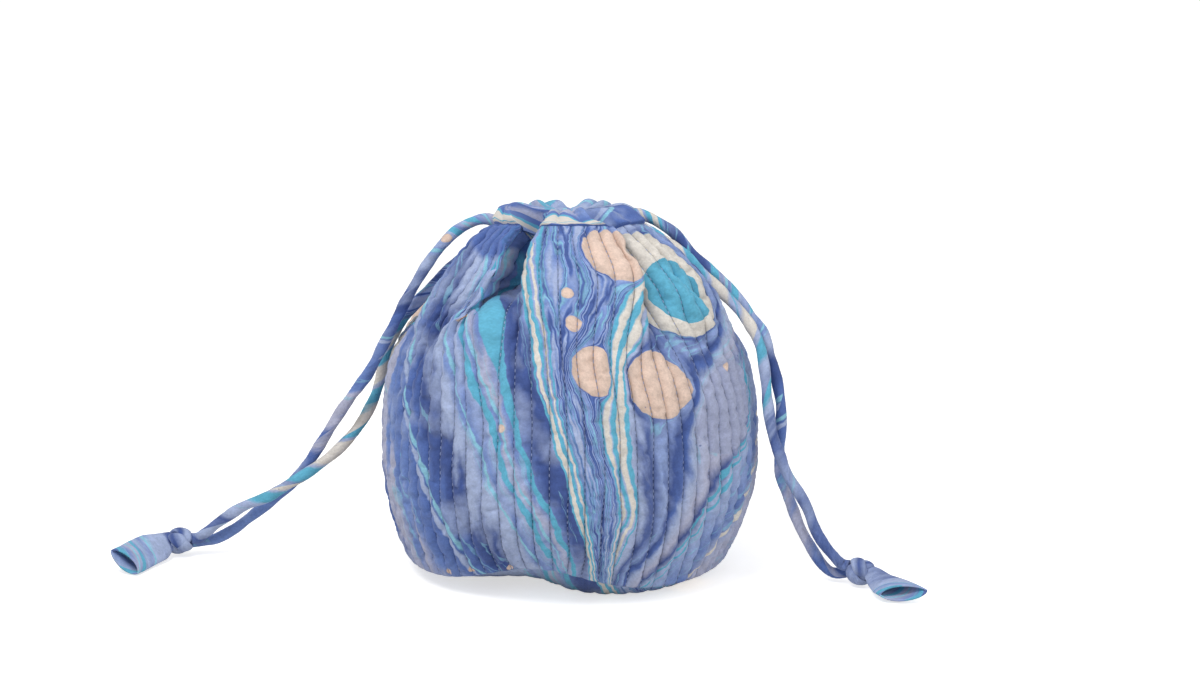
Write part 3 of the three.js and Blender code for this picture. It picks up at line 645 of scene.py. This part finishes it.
CLOTH_AROUND = CHANNELS * CHANNEL_WIDTH
front_cotton = printed_cotton("front_cotton", (CLOTH_AROUND, UV_HEIGHT), (0, 0), channels=CHANNELS)
back_cotton = printed_cotton("back_cotton", (CLOTH_AROUND, UV_HEIGHT), (-385, -8), 6, CHANNELS)
HALF = CHANNELS // 2
panels = {}
for side, first, cotton in (("front", 0, front_cotton), ("back", HALF, back_cotton)):
    panels[side] = quilted_half(f"{side}_panel_cloth", first, first + HALF, cotton)
    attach(panels[side], "root")
    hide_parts(f"{side}_panel")

# Quilting stitches: rows of machine running stitch in blue-grey cotton thread, one row between each two
# channels. Each stitch lies on the cloth and dips into it at both ends, which pulls the row into a groove.
STITCH_PITCH, STITCH_LENGTH, THREAD_RADIUS, THREAD_RAISED = 3.3, 1.9, 0.3, 0.15
ROW_START, ROW_END, ROW_POINTS, STITCH_SEED = 0.01, 0.985, 160, 5

thread = bpy.data.materials.new("quilting_thread")
thread.use_nodes = True
thread_tree = thread.node_tree
strand_place = add_node(thread_tree, "ShaderNodeTexCoord", {}).outputs["Object"]
ply = noise(thread_tree, strand_place, size=0.4 * MM, detail=3.0, offset=1.0)
ply_colour = ramp(thread_tree, ply, [(0.3, "6F81B4"), (0.7, "A3B0D0")])["Color"]
thread_tree.links.new(ply_colour, thread_tree.nodes["Principled BSDF"].inputs["Base Color"])
thread_tree.nodes["Principled BSDF"].inputs["Roughness"].default_value = 0.7


def running_stitch():
    """Geometry nodes that set stitches along edges at a steady pitch"""
    sockets = {"Geometry": "Geometry", "Pitch": "Float", "Length": "Float", "Radius": "Float"}
    tree, given, made = node_group("running_stitch", "GeometryNodeTree", sockets, {"Geometry": "Geometry"})
    rows = add_node(tree, "GeometryNodeMeshToCurve", {"Mesh": given["Geometry"]}).outputs[0]
    spacing = {"Curve": rows, "Length": given["Pitch"]}
    spaced = add_node(tree, "GeometryNodeResampleCurve", spacing, mode="LENGTH").outputs[0]
    bead = add_node(tree, "GeometryNodeMeshUVSphere", {"Segments": 6, "Rings": 4, "Radius": 1.0}).outputs[0]
    along = tree.nodes.new("GeometryNodeInputTangent").outputs[0]
    turned = add_node(tree, "FunctionNodeAlignRotationToVector", {"Vector": along}, axis="Z").outputs[0]
    shares = {2: 0.42, 3: 0.54, 8: STITCH_SEED}
    uneven = add_node(tree, "FunctionNodeRandomValue", shares, data_type="FLOAT").outputs[1]
    half = maths(tree, "MULTIPLY", given["Length"], uneven)
    sizes = {0: given["Radius"], 1: given["Radius"], 2: half}
    size = add_node(tree, "ShaderNodeCombineXYZ", sizes).outputs[0]
    placing = {"Points": spaced, "Instance": bead, "Rotation": turned, "Scale": size}
    stitches = add_node(tree, "GeometryNodeInstanceOnPoints", placing).outputs[0]
    real = add_node(tree, "GeometryNodeRealizeInstances", {0: stitches}).outputs[0]
    rounded = add_node(tree, "GeometryNodeSetShadeSmooth", {0: real}).outputs[0]
    dyed = add_node(tree, "GeometryNodeSetMaterial", {"Geometry": rounded, "Material": thread}).outputs[0]
    tree.links.new(dyed, made["Geometry"])
    return tree


STITCHING = running_stitch()


def stitched(name, rows):
    """Stitches along rows of points, as a plain mesh"""
    lines = bpy.data.meshes.new(name + "_rows")
    points = np.concatenate(rows) * MM
    starts = np.cumsum([0] + [len(row) for row in rows])
    edges = [(k, k + 1) for a, b in zip(starts, starts[1:]) for k in range(a, b - 1)]
    lines.from_pydata(points.tolist(), edges, [])
    guide = add_object(name + "_rows", lines)
    modifier = guide.modifiers.new("stitches", "NODES")
    modifier.node_group = STITCHING
    sizes = {"Pitch": STITCH_PITCH * MM, "Length": STITCH_LENGTH * MM, "Radius": THREAD_RADIUS * MM}
    for socket in STITCHING.interface.items_tree:
        if socket.name in sizes:
            modifier[socket.identifier] = sizes[socket.name]
    made = guide.evaluated_get(bpy.context.evaluated_depsgraph_get())
    mesh = bpy.data.meshes.new_from_object(made)
    guide.modifiers.remove(modifier)
    bpy.data.objects.remove(guide)
    return add_object(name, mesh)


for side, first in (("front", 0), ("back", HALF)):
    along_wall = np.linspace(ROW_START, ROW_END, ROW_POINTS)
    rows = []
    for row in range(first + 1, first + HALF):
        channel = np.full_like(along_wall, row)
        rows.append(quilted_surface(channel, along_wall) + THREAD_RAISED * wall_normal(channel, along_wall))
    stitches = stitched(f"{side}_quilting_stitches", rows)
    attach(stitches, "root")

# Base: a round of the same quilting with straight channels from front to back, set into the wall's lower
# edge. Its middle lies flat on the table and its rim curls up to the seam, puckered where the wall is
# tucked.
BASE_FLAT_RADIUS, BASE_CURL = 67.0, 1.5
LIFTED_ANGLE, LIFTED_WIDTH, LIFTED_REACH = -129.0, 42.0, 48.0
BASE_THICKNESS, BASE_INSET, BASE_PUFF, BASE_PUFF_POWERS = 3.0, 1.4, 1.0, (2.2, 0.75)
RIM_PUCKER, RIM_PUCKER_PITCH = 0.9, 1.9
BASE_HUB, BASE_MIDDLE = 0.02, 0.72
BASE_SIDES = 408
BASE_UV = 180.0


def base_rings():
    angle = -180 + 360 * np.arange(BASE_SIDES) / BASE_SIDES
    channel = CHANNELS * np.arange(BASE_SIDES) / BASE_SIDES
    edge = wall_point(channel, np.zeros(BASE_SIDES))
    rim = np.linalg.norm(edge[:, :2], axis=1) - BASE_INSET
    rim_height = edge[:, 2]
    lifted = np.exp(-(((angle - LIFTED_ANGLE) / LIFTED_WIDTH) ** 2))
    flat = BASE_FLAT_RADIUS - LIFTED_REACH * lifted
    ray = np.stack([np.cos(np.radians(angle)), np.sin(np.radians(angle))], axis=-1)
    under = np.concatenate([np.linspace(BASE_HUB, BASE_MIDDLE, 26), np.linspace(BASE_MIDDLE, 1, 27)[1:]])
    rings = []
    for share in under:
        radius = share * rim
        curl = np.clip((radius - flat) / (rim - flat), 0, 1)
        across = radius * ray[:, 0] / CHANNEL_WIDTH + 0.5
        puff = pillow(across, *BASE_PUFF_POWERS)
        gathers = 0.5 + 0.5 * np.cos(angle * RIM_PUCKER_PITCH + 2 * lumps(angle / 9, curl, 21))
        lift = BASE_PUFF * (1 - puff) * (1 - curl) + RIM_PUCKER * curl * gathers
        radius = radius - lift * curl
        rings.append(np.column_stack([radius[:, None] * ray, rim_height * curl ** BASE_CURL + lift]))
    for share in np.linspace(1, BASE_HUB, 14):
        radius = share * (rim - BASE_THICKNESS)
        curl = np.clip((radius - flat) / (rim - flat), 0, 1)
        height = BASE_THICKNESS + rim_height * curl ** BASE_CURL
        rings.append(np.column_stack([radius[:, None] * ray, height]))
    return np.array(rings)


def base_piece(material):
    rings = base_rings()
    base = loft("base_panel_cloth", rings[::-1], np.zeros(len(rings)), np.zeros(BASE_SIDES + 1), material)
    corner = np.zeros(len(base.data.loops), np.int32)
    base.data.loops.foreach_get("vertex_index", corner)
    place = np.array([vertex.co[:2] for vertex in base.data.vertices])[corner] / MM / BASE_UV + 0.5
    base.data.uv_layers["cloth"].data.foreach_set("uv", place.astype(np.float32).ravel())
    return base


base_cotton = printed_cotton("base_cotton", (BASE_UV, BASE_UV), (77, -10), cut_turn=35)
base = base_piece(base_cotton)
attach(base, "root")
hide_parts("base_panel")

# Casing: a folded band of the cotton, unquilted, sewn round the mouth in two halves that leave a gap at
# each side. The drawstrings run inside it and draw it into small pleats that meet round the closed mouth.
HOLE_RADIUS, CASING_BOTTOM, MOUTH_TOP = 10.5, 178.5, 193.2
RIM_VALLEY_RADIUS, RIM_CREST_RADIUS, RIM_VALLEY_HEIGHT = 20.0, 40.0, 187.0
# For each lobe of the mouth: the height of its rim, and its pleats. The lobes in open gaps have none.
RIM_HEIGHTS = [196.0, 190.0, 191.6, 193.0, 190.0, 193.8, 195.0, 195.0, 194.5, 190.0]
PLEATS = [2, 1, 3, 2, 1, 2, 2, 2, 2, 1]
OPEN_GAPS, OPEN_PLEAT = (1, 4, 9), 0.3
PLEAT_DEPTH, PLEAT_POWERS, PLEAT_WANDER, PLEAT_LOW, PLEAT_UNEVEN = 2.6, (2.2, 0.8), 0.2, 0.85, 0.3
RIM_SCALLOP, RIM_RIPPLE, ROLL = 2.4, 1.5, 1.6
CASING_EXIT_CHANNELS, CASING_LAP = 0.35, 0.5
CASING_UV = 62.0


def smooth_weights(controls, steps):
    """Weights that draw a smooth line through control points, with that many steps between each two"""
    rows = []
    for i in range(controls - 1):
        for t in np.arange(steps) / steps:
            row = np.zeros(controls)
            shares = (-t + 2 * t**2 - t**3, 2 - 5 * t**2 + 3 * t**3, t + 4 * t**2 - 3 * t**3, t**3 - t**2)
            for k, share in zip((i - 1, i, i + 1, i + 2), shares):
                row[min(max(k, 0), controls - 1)] += share / 2
            rows.append(row)
    rows.append(np.eye(controls)[-1])
    return np.array(rows)


def casing_half(name, first, last, material):
    channel = np.linspace(first + CASING_EXIT_CHANNELS, last - CASING_EXIT_CHANNELS, 8 * HALF + 1)
    angle, _, crest = mouth_place(channel)
    lobe, share = lobe_place(channel)
    moved = PLEAT_WANDER * lumps(lobe * 3.1, share * 3, 31) * np.sin(np.pi * share)
    pleat = np.array(PLEATS)[lobe] * share + moved
    ridge = np.where(np.isin(lobe, OPEN_GAPS), OPEN_PLEAT, pillow(pleat, *PLEAT_POWERS))
    uneven = PLEAT_UNEVEN * lumps(lobe * 2.3 + np.floor(pleat) * 5.7, lobe * 0.9, 32)
    ridge = ridge * (PLEAT_LOW + uneven)
    top = np.ones_like(channel)
    normal = wall_normal(channel, top)
    seam = wall_point(channel, top) + CASING_LAP * normal - np.array([0, 0, CASING_LAP])
    seam_inside = wall_point(channel, top) - WALL_THICKNESS * normal
    seam_radius = np.hypot(seam[:, 0], seam[:, 1])
    seam_height = seam[:, 2] + MOUTH_TILT * seam[:, 1]
    seam_angle = np.unwrap(np.arctan2(seam[:, 1], seam[:, 0]))
    angle = np.radians(angle)
    angle = angle + 2 * np.pi * np.round((seam_angle - angle) / (2 * np.pi))

    def at(radius, height, turned):
        around = seam_angle + (angle - seam_angle) * turned
        y = radius * np.sin(around)
        return np.stack([radius * np.cos(around), y, height - MOUTH_TILT * y], axis=-1)

    rim = RIM_VALLEY_RADIUS + (RIM_CREST_RADIUS - RIM_VALLEY_RADIUS) * crest
    rim = rim + RIM_RIPPLE * (ridge - 0.5)
    rim_height = RIM_VALLEY_HEIGHT + (np.array(RIM_HEIGHTS)[lobe] - RIM_VALLEY_HEIGHT) * crest
    rim_height = rim_height + RIM_SCALLOP * (ridge - 0.6)
    inward = rim - HOLE_RADIUS
    level = 0 * rim
    roll_top = 0.5 * (rim_height + MOUTH_TOP) + ROLL * crest
    # The band's profile: up from the seam, over the rolled rim, across the pleats to the hole, down inside
    controls = [
        seam,
        at(seam_radius + 0.3 + 0.6 * ridge, seam_height + 0.35 * (rim_height - seam_height), 0.3),
        at(rim + 1.3, rim_height - 2.0, 0.7),
        at(rim - 0.8, rim_height, 0.8),
        at(HOLE_RADIUS + 0.74 * inward, roll_top + 0.5 * ROLL * crest + PLEAT_DEPTH * (ridge - 0.7), 1.0),
        at(HOLE_RADIUS + 0.38 * inward, MOUTH_TOP + 0.5 + 0.6 * PLEAT_DEPTH * (ridge - 0.7), 1.0),
        at(level + HOLE_RADIUS + 1.0, MOUTH_TOP - 1.0 + 0.4 * ridge, 1.0),
        at(HOLE_RADIUS - 0.8 * ridge, level + MOUTH_TOP - 6, 1.0),
        at(level + HOLE_RADIUS + 1.5, level + CASING_BOTTOM, 1.0),
        seam_inside,
    ]
    rings = np.einsum("sk,kcx->csx", smooth_weights(len(controls), 5), np.array(controls))
    length = run_length(rings) / CASING_UV
    return loft(name, rings, channel / CHANNELS, np.column_stack([length, length[:, -1:]]), material)


CASING_LINES = [
    (0.0, MID), (0.02, CREAM), (0.05, CYAN), (0.062, CREAM), (0.135, CYAN), (0.16, MID), (0.2, None),
]
casing_cotton = printed_cotton(
    "casing_cotton", (CLOTH_AROUND, CASING_UV), (40, -60), cut_turn=92,
    edge_lines=CASING_LINES, edge_end=0.325,
)
for side, first in (("front", 0), ("back", HALF)):
    casing = casing_half(f"{side}_casing_cloth", first, first + HALF, casing_cotton)
    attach(casing, "root")
    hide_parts(f"{side}_casing")

# Drawstrings: two narrow tubes of the cotton, turned right side out and a little flattened and twisted.
# Each runs once round inside the casing, comes out at one side and has its two ends tied together.
CORD_DIAMETER, CORD_CLEARANCE, EXIT_BEND = 6.2, 0.3, 7.0
CORD_RING_RADIUS = 15.3
CORD_FLATNESS, CORD_TWIST, CORD_SIDES, CORD_WRINKLE, CORD_FOLD = 0.86, 0.021, 18, 0.05, 0.03
CORD_UV_LENGTH, CORD_AROUND = 700.0, math.pi * CORD_DIAMETER
STRAND_SPACING = 1.6
KNOT_LENGTH = 11.0
LEFT_OVER = [
    (-32, -6.5, 185.5), (-43, -5, 189), (-51, -4, 187), (-60, -4, 181.5), (-71.5, -4, 168.5),
    (-79, -4, 157), (-86.5, -3, 143.5), (-93, -2, 130.5), (-99.5, 0, 118), (-106.5, 2, 104.5),
    (-115.5, 4, 92), (-124.5, 6, 78.5), (-133.5, 9, 63.5), (-141, 11, 52), (-149.5, 13, 41),
    (-158, 14, 33), (-170, 15, 23.5), (-182, 16, 14), (-193.5, 16.8, 8),
]
LEFT_UNDER = [
    (-32, -0.5, 184), (-45, 0, 177), (-57, 0.5, 167), (-70, 3, 154), (-80, 4.5, 143), (-89.5, 8, 131),
    (-95.8, 11, 119), (-99, 13, 107.5), (-102, 15, 96), (-105, 15, 87), (-111, 12, 76), (-119, 9, 66),
    (-129, 6, 57), (-139, 4, 50), (-149.5, 4, 43.5), (-161, 5, 36), (-174.5, 7, 30), (-186, 9, 22.5),
    (-197, 10.6, 13.5),
]
RIGHT_OVER = [
    (33.5, 1, 191), (41, 0, 189.5), (48, -1, 186), (55.5, -3, 181), (60.5, -5, 175.5), (66.5, -7, 169),
    (74, -8, 162.5), (82.5, -9, 155), (90, -10, 146), (96, -11, 138), (102, -13, 130),
    (105.5, -15, 119), (109, -17, 107), (111.5, -20, 92.5), (111.5, -22, 78), (111, -23, 69),
    (112, -25, 54), (117, -28, 41), (122, -31, 28.5), (128.5, -33, 17), (134.5, -34.5, 8.5),
    (140, -35, 5), (145, -36.2, 5.8),
]
RIGHT_UNDER = [
    (33, -8, 187.5), (40.5, -9.5, 184), (48, -11, 180), (55, -13, 176), (62, -15, 170.5),
    (68, -16, 164), (75.5, -17, 157), (83, -18, 149.5), (90.5, -19, 141.5), (96.5, -21, 132.5),
    (100, -23, 125), (102.5, -26, 112), (104, -29, 96), (106.5, -32, 80.5), (110.5, -33, 68.5),
    (114, -34, 59.5), (124.5, -37, 42), (129, -39, 30.5), (134, -40.5, 22), (140, -41.5, 15),
]
KNOTS = {
    "left": {"centre": (-211, 12.5, 8.4), "heading": 195, "lean": (0.26, 0.83, -0.5)},
    "right": {"centre": (153, -43.5, 8.6), "heading": -35, "lean": (0.39, 0.56, -0.73)},
}


def heading(degrees):
    return np.array([math.cos(math.radians(degrees)), math.sin(math.radians(degrees)), 0.0])


def hidden_run(exit_angle, height):
    """Route of a drawstring inside the casing, from one exit bend round to the other"""
    bend_centre = CORD_RING_RADIUS + EXIT_BEND
    bend_aside = CORD_DIAMETER / 2 + CORD_CLEARANCE + EXIT_BEND
    bend_out = math.sqrt(bend_centre**2 - bend_aside**2)
    leave = math.asin(bend_aside / bend_centre)
    bend = np.linspace(math.pi / 2, leave, 4)
    ring = np.linspace(leave, 2 * math.pi - leave, 23)[1:-1]
    out = np.concatenate([bend_out - EXIT_BEND * np.cos(bend), CORD_RING_RADIUS * np.cos(ring)])
    aside = np.concatenate([bend_aside - EXIT_BEND * np.sin(bend), CORD_RING_RADIUS * np.sin(ring)])
    out = np.append(out, out[3::-1])
    aside = np.append(aside, -aside[3::-1])
    points = np.outer(out, heading(exit_angle)) + np.outer(aside, heading(exit_angle + 90))
    points[:, 2] = height - MOUTH_TILT * points[:, 1]
    return points


def knot_entry(knot, side):
    """Last two points of a strand, where it goes into its knot"""
    axis = heading(knot["heading"])
    lean = np.array(knot["lean"])
    lean = unit(lean - axis * (lean @ axis))
    end = np.array(knot["centre"]) - axis * (KNOT_LENGTH / 2 + SEAM_GAP)
    end = end + lean * side * (CORD_DIAMETER + CORD_CLEARANCE) / 2
    return [end - 0.6 * CORD_DIAMETER * axis, end]


def smooth_route(points, spacing):
    """Evenly spaced points on a smooth curve through the given ones, and each given point's place along
    it"""
    p = np.asarray(points, float)
    p = np.vstack([2 * p[0] - p[1], p, 2 * p[-1] - p[-2]])
    fine = []
    for a, b, c, d in zip(p, p[1:], p[2:], p[3:]):
        gaps = [np.linalg.norm(b - a) ** 0.5, np.linalg.norm(c - b) ** 0.5, np.linalg.norm(d - c) ** 0.5]
        t0, t1, t2, t3 = np.cumsum([0, *gaps])
        t = np.linspace(t1, t2, 16, endpoint=False)[:, None]
        ab = (t1 - t) / (t1 - t0) * a + (t - t0) / (t1 - t0) * b
        bc = (t2 - t) / (t2 - t1) * b + (t - t1) / (t2 - t1) * c
        cd = (t3 - t) / (t3 - t2) * c + (t - t2) / (t3 - t2) * d
        abc = (t2 - t) / (t2 - t0) * ab + (t - t0) / (t2 - t0) * bc
        bcd = (t3 - t) / (t3 - t1) * bc + (t - t1) / (t3 - t1) * cd
        fine.append((t2 - t) / (t2 - t1) * abc + (t - t1) / (t2 - t1) * bcd)
    fine = np.vstack([*fine, p[-2]])
    run = run_length(fine)
    even = np.linspace(0, run[-1], int(run[-1] / spacing) + 1)
    route = np.stack([np.interp(even, run, fine[:, axis]) for axis in range(3)], axis=-1)
    return route, run[::16] / run[-1]


def round_angles(count):
    return 2 * np.pi * np.arange(count) / count


def cloth_tube(name, route, start, material, seed):
    """A flattened, twisted tube of cloth along a route, start being its distance along the whole cord"""
    tangent = unit(np.gradient(route, axis=0))
    side = np.zeros_like(route)
    side[0] = unit(np.cross(tangent[0], (0.3, 0.9, 0.1)))
    for i in range(1, len(route)):
        side[i] = unit(side[i - 1] - tangent[i] * (side[i - 1] @ tangent[i]))
    other = np.cross(tangent, side)
    distance = start + run_length(route)
    around = round_angles(CORD_SIDES)
    spin = 2 * np.pi * CORD_TWIST * distance[:, None]
    wrinkle = CORD_WRINKLE * lumps(distance[:, None] / 4.5, around * 1.1, seed)
    reach = CORD_DIAMETER / 2 * (1 + wrinkle + CORD_FOLD * np.cos(3 * (around + spin)))
    wide = reach * np.cos(around)
    deep = reach * CORD_FLATNESS * np.sin(around)
    turned_wide = (wide * np.cos(spin) - deep * np.sin(spin))[..., None]
    turned_deep = (wide * np.sin(spin) + deep * np.cos(spin))[..., None]
    rings = route[:, None] + side[:, None] * turned_wide + other[:, None] * turned_deep
    return loft(name, rings, distance / CORD_UV_LENGTH, np.linspace(0, 1, CORD_SIDES + 1), material)


CORDS = {
    "left": {
        "exit": -172, "height": 182.8, "strands": (LEFT_OVER, LEFT_UNDER), "cut": (-20, -60), "seed": 41,
    },
    "right": {
        "exit": -8, "height": 189.3, "strands": (RIGHT_OVER, RIGHT_UNDER), "cut": (30, -40), "seed": 42,
    },
}
for side, cord in CORDS.items():
    cotton = printed_cotton(f"{side}_cord_cotton", (CORD_UV_LENGTH, CORD_AROUND), cord["cut"], cut_turn=60)
    first, second = cord["strands"]
    head = [*first, *knot_entry(KNOTS[side], 1)][::-1]
    tail = [*second, *knot_entry(KNOTS[side], -1)]
    run = hidden_run(cord["exit"], cord["height"])
    route, places = smooth_route([*head, *run, *tail], STRAND_SPACING)
    leaves = round(places[len(head) - 1] * (len(route) - 1))
    returns = round(places[len(head) + len(run)] * (len(route) - 1))
    pieces = {
        "first_strand": (0, leaves + 1),
        "hidden_run": (leaves, returns + 1),
        "second_strand": (returns, len(route)),
    }
    for part, (begin, end) in pieces.items():
        start = begin * STRAND_SPACING
        strand = cloth_tube(f"{side}_cord_{part}", route[begin:end], start, cotton, cord["seed"])
        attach(strand, "root")
        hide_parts(f"{side}_drawstring")
        if part == "hidden_run":
            continue
        path = route[begin:end] * MM
        if part == "first_strand":
            path = path[::-1]

# Knots: each drawstring's two ends tied together in a tight overhand knot that stands up from the table.
# The cloth is pulled flat where it wraps over itself, so the turns are broad bands that cross.
KNOT_RING, KNOT_OVER, KNOT_RISE, KNOT_STEPS = 3.5, 1.9, 1.5, 180
KNOT_BAND, KNOT_BAND_DEPTH, KNOT_CRINKLE, KNOT_SIDES = 7.4, 4.4, 0.06, 20
KNOT_CUT = {"uv_size": (75, 19), "cut_place": (123, 19), "cut_turn": 112}
tied_pieces = {}
for side, knot in KNOTS.items():
    turn = round_angles(KNOT_STEPS)
    axis = heading(knot["heading"])
    flat_side = heading(knot["heading"] + 90)
    up = np.array([0.0, 0.0, 1.0])
    spread = KNOT_RING + KNOT_OVER * np.cos(3 * turn)
    outward = np.cos(2 * turn)[:, None] * flat_side + np.sin(2 * turn)[:, None] * up
    rise = KNOT_RISE * KNOT_OVER * np.sin(3 * turn)
    line = np.array(knot["centre"]) + spread[:, None] * outward + rise[:, None] * axis
    tangent = unit(np.roll(line, -1, axis=0) - np.roll(line, 1, axis=0))
    face = unit(outward - tangent * np.sum(outward * tangent, axis=1, keepdims=True))
    wide = np.cross(tangent, face)
    around = round_angles(KNOT_SIDES)
    crinkle = 1 + KNOT_CRINKLE * lumps(turn[:, None] * 4, around, 51)
    rings = line[:, None] + wide[:, None] * (KNOT_BAND / 2 * np.cos(around) * crinkle)[..., None]
    rings = rings + face[:, None] * (KNOT_BAND_DEPTH / 2 * np.sin(around) * crinkle)[..., None]
    cotton = printed_cotton(f"{side}_knot_cotton", **KNOT_CUT)
    u, v = np.linspace(0, 1, KNOT_STEPS + 1), np.linspace(0, 1, KNOT_SIDES + 1)
    tied = loft(f"{side}_knot_cloth", rings, u, v, cotton, closed=True)
    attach(tied, "root")
    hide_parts(f"{side}_knot")
    tied_pieces[side] = [tied]

# Tabs: beyond each knot, a wider end of doubled cloth, left open and pressed almost flat.
# It spreads from the knot to its cut end, where the two layers part and show the dark inside.
TAB_WIDTH, TAB_OPEN, TAB_CLOTH, TAB_RIPPLE = 20.0, 6.4, 1.0, 0.5
TAB_TUCK, TAB_STRAIGHT, TAB_SPACING, TAB_SIDES, TAB_HOLLOW = 1.5, 3.0, 0.8, 36, 0.7
TAB_CUT = {"uv_size": (46, 40), "cut_place": (92, 26), "cut_turn": -8}
TABS = {
    "left": {
        "bend": (-224, 3, 7.6), "end": (-236, -21.5, 7), "across": (-0.65, 0.53, 0.55),
        "lip": 1.5, "slant": 0, "neck": 12.5, "spread": 0.35,
    },
    "right": {
        "bend": (163.5, -57, 6.6), "end": (173, -73, 5.6), "across": (0.83, 0.5, 0.22),
        "lip": -2.5, "slant": 7, "neck": 10.5, "spread": 0.75,
    },
}


def tab_rings(tab, route, inset):
    """Rings of the flattened tube along a tab's route, drawn in by the inset"""
    share = np.linspace(0, 1, len(route))
    around = round_angles(TAB_SIDES)
    tangent = unit(np.gradient(route, axis=0))
    across = np.array(tab["across"])
    wide = unit(across - tangent * (tangent @ across)[:, None])
    thick = np.cross(tangent, wide)
    half_wide = (tab["neck"] + (TAB_WIDTH - tab["neck"]) * smooth(share, 0, tab["spread"])) / 2 - inset
    half_thick = TAB_OPEN * (0.85 + 0.3 * share**3) / 2 - inset
    ripple = TAB_RIPPLE * smooth(share, 0.2, 1)[:, None] * lumps(share[:, None] * 5, around, 61)
    out_wide = half_wide[:, None] * np.cos(around)
    out_thick = half_thick[:, None] * np.sin(around) * np.abs(np.sin(around)) ** 0.35 + ripple
    cut = smooth(share, 0.45, 1)[:, None] * (tab["slant"] * np.cos(around) + tab["lip"] * np.sin(around))
    rings = route[:, None] + wide[:, None] * out_wide[..., None] + thick[:, None] * out_thick[..., None]
    return rings + tangent[:, None] * cut[..., None]


for side, tab in TABS.items():
    axis = heading(KNOTS[side]["heading"])
    start = np.array(KNOTS[side]["centre"]) + axis * (KNOT_LENGTH / 2 - TAB_TUCK)
    bends = [start, start + TAB_STRAIGHT * axis, tab["bend"], tab["end"]]
    route, _ = smooth_route(bends, TAB_SPACING)
    inside = tab_rings(tab, route, TAB_CLOTH)[::-1][: int(TAB_HOLLOW * len(route))]
    rings = np.concatenate([tab_rings(tab, route, 0), inside])
    share = np.linspace(0, 1, len(route))
    u, v = np.concatenate([share, share[::-1][: len(inside)]]), np.linspace(0, 1, TAB_SIDES + 1)
    cotton = printed_cotton(f"{side}_tab_cotton", **TAB_CUT)
    end_piece = loft(f"{side}_tab_cloth", rings, u, v, cotton)
    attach(end_piece, "root")
    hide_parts(f"{side}_tab")
    tied_pieces[side].append(end_piece)

# Floor, light and camera: a plain pale floor that reads as white, as the photograph's ground does, soft
# light from above and the left with a weaker lamp on the right, and the photograph's view.
FLOOR_REACH, FLOOR_COLOUR, FLOOR_GLOW, SKY_LEVEL = 4.0, (0.8, 0.785, 0.76, 1), 0.62, 0.54


def looked_at(tree):
    """1 where the camera looks at the background, straight, in a reflection or through something clear"""
    seen = add_node(tree, "ShaderNodeLightPath", {}).outputs
    straight_or_mirrored = maths(tree, "MAXIMUM", seen["Is Camera Ray"], seen["Is Glossy Ray"])
    return maths(tree, "MAXIMUM", straight_or_mirrored, seen["Is Transmission Ray"])


floor_mesh = bpy.data.meshes.new("floor")
corners = [(x * FLOOR_REACH, y * FLOOR_REACH, 0) for x, y in ((-1, -1), (1, -1), (1, 1), (-1, 1))]
floor_mesh.from_pydata(corners, [], [(0, 1, 2, 3)])
floor = add_object("floor", floor_mesh)
floor_paint = bpy.data.materials.new("floor_paint")
floor_paint.use_nodes = True
paint = floor_paint.node_tree
shader = paint.nodes["Principled BSDF"]
shader.inputs["Base Color"].default_value = FLOOR_COLOUR
shader.inputs["Roughness"].default_value = 1.0
shader.inputs["Specular IOR Level"].default_value = 0.0
shader.inputs["Emission Color"].default_value = (1, 1, 1, 1)
glow = maths(paint, "MULTIPLY", looked_at(paint), FLOOR_GLOW)
paint.links.new(glow, shader.inputs["Emission Strength"])
floor_mesh.materials.append(floor_paint)

world = bpy.data.worlds.new("studio")
world.use_nodes = True
bpy.context.scene.world = world
sky = world.node_tree
background = sky.nodes["Background"].inputs
background["Color"].default_value = (1, 1, 1, 1)
sky.links.new(map_range(sky, looked_at(sky), 0, 1, SKY_LEVEL, 1.0), background["Strength"])


def soft_lamp(name, place, aim, size, power):
    lamp = bpy.data.lights.new(name, "AREA")
    lamp.size = size
    lamp.energy = power
    holder = add_object(name, lamp)
    holder.location = place
    holder.rotation_euler = (Vector(aim) - Vector(place)).to_track_quat("-Z", "Y").to_euler()


POUCH_MIDDLE = (0, 0, 0.09)
soft_lamp("key", (-0.4, -0.6, 1.2), POUCH_MIDDLE, size=0.6, power=9.5)
soft_lamp("fill", (0.9, -0.7, 0.7), POUCH_MIDDLE, size=0.9, power=4)

PHOTO_WIDTH, FOCAL_PIXELS, VIEW_DOWN = 1200, 3207.55, 13.0
CAMERA_PLACE = (16.415, -1656.43, 499.86)
camera_data = bpy.data.cameras.new("camera")
camera_data.sensor_width = 36.0
camera_data.lens = FOCAL_PIXELS / PHOTO_WIDTH * camera_data.sensor_width
camera = add_object("camera", camera_data)
camera.location = Vector(CAMERA_PLACE) * MM
camera.rotation_euler = (math.radians(90 - VIEW_DOWN), 0, 0)
bpy.context.scene.camera = camera
bpy.context.scene.view_settings.view_transform = "Standard"

bpy.context.view_layer.update()
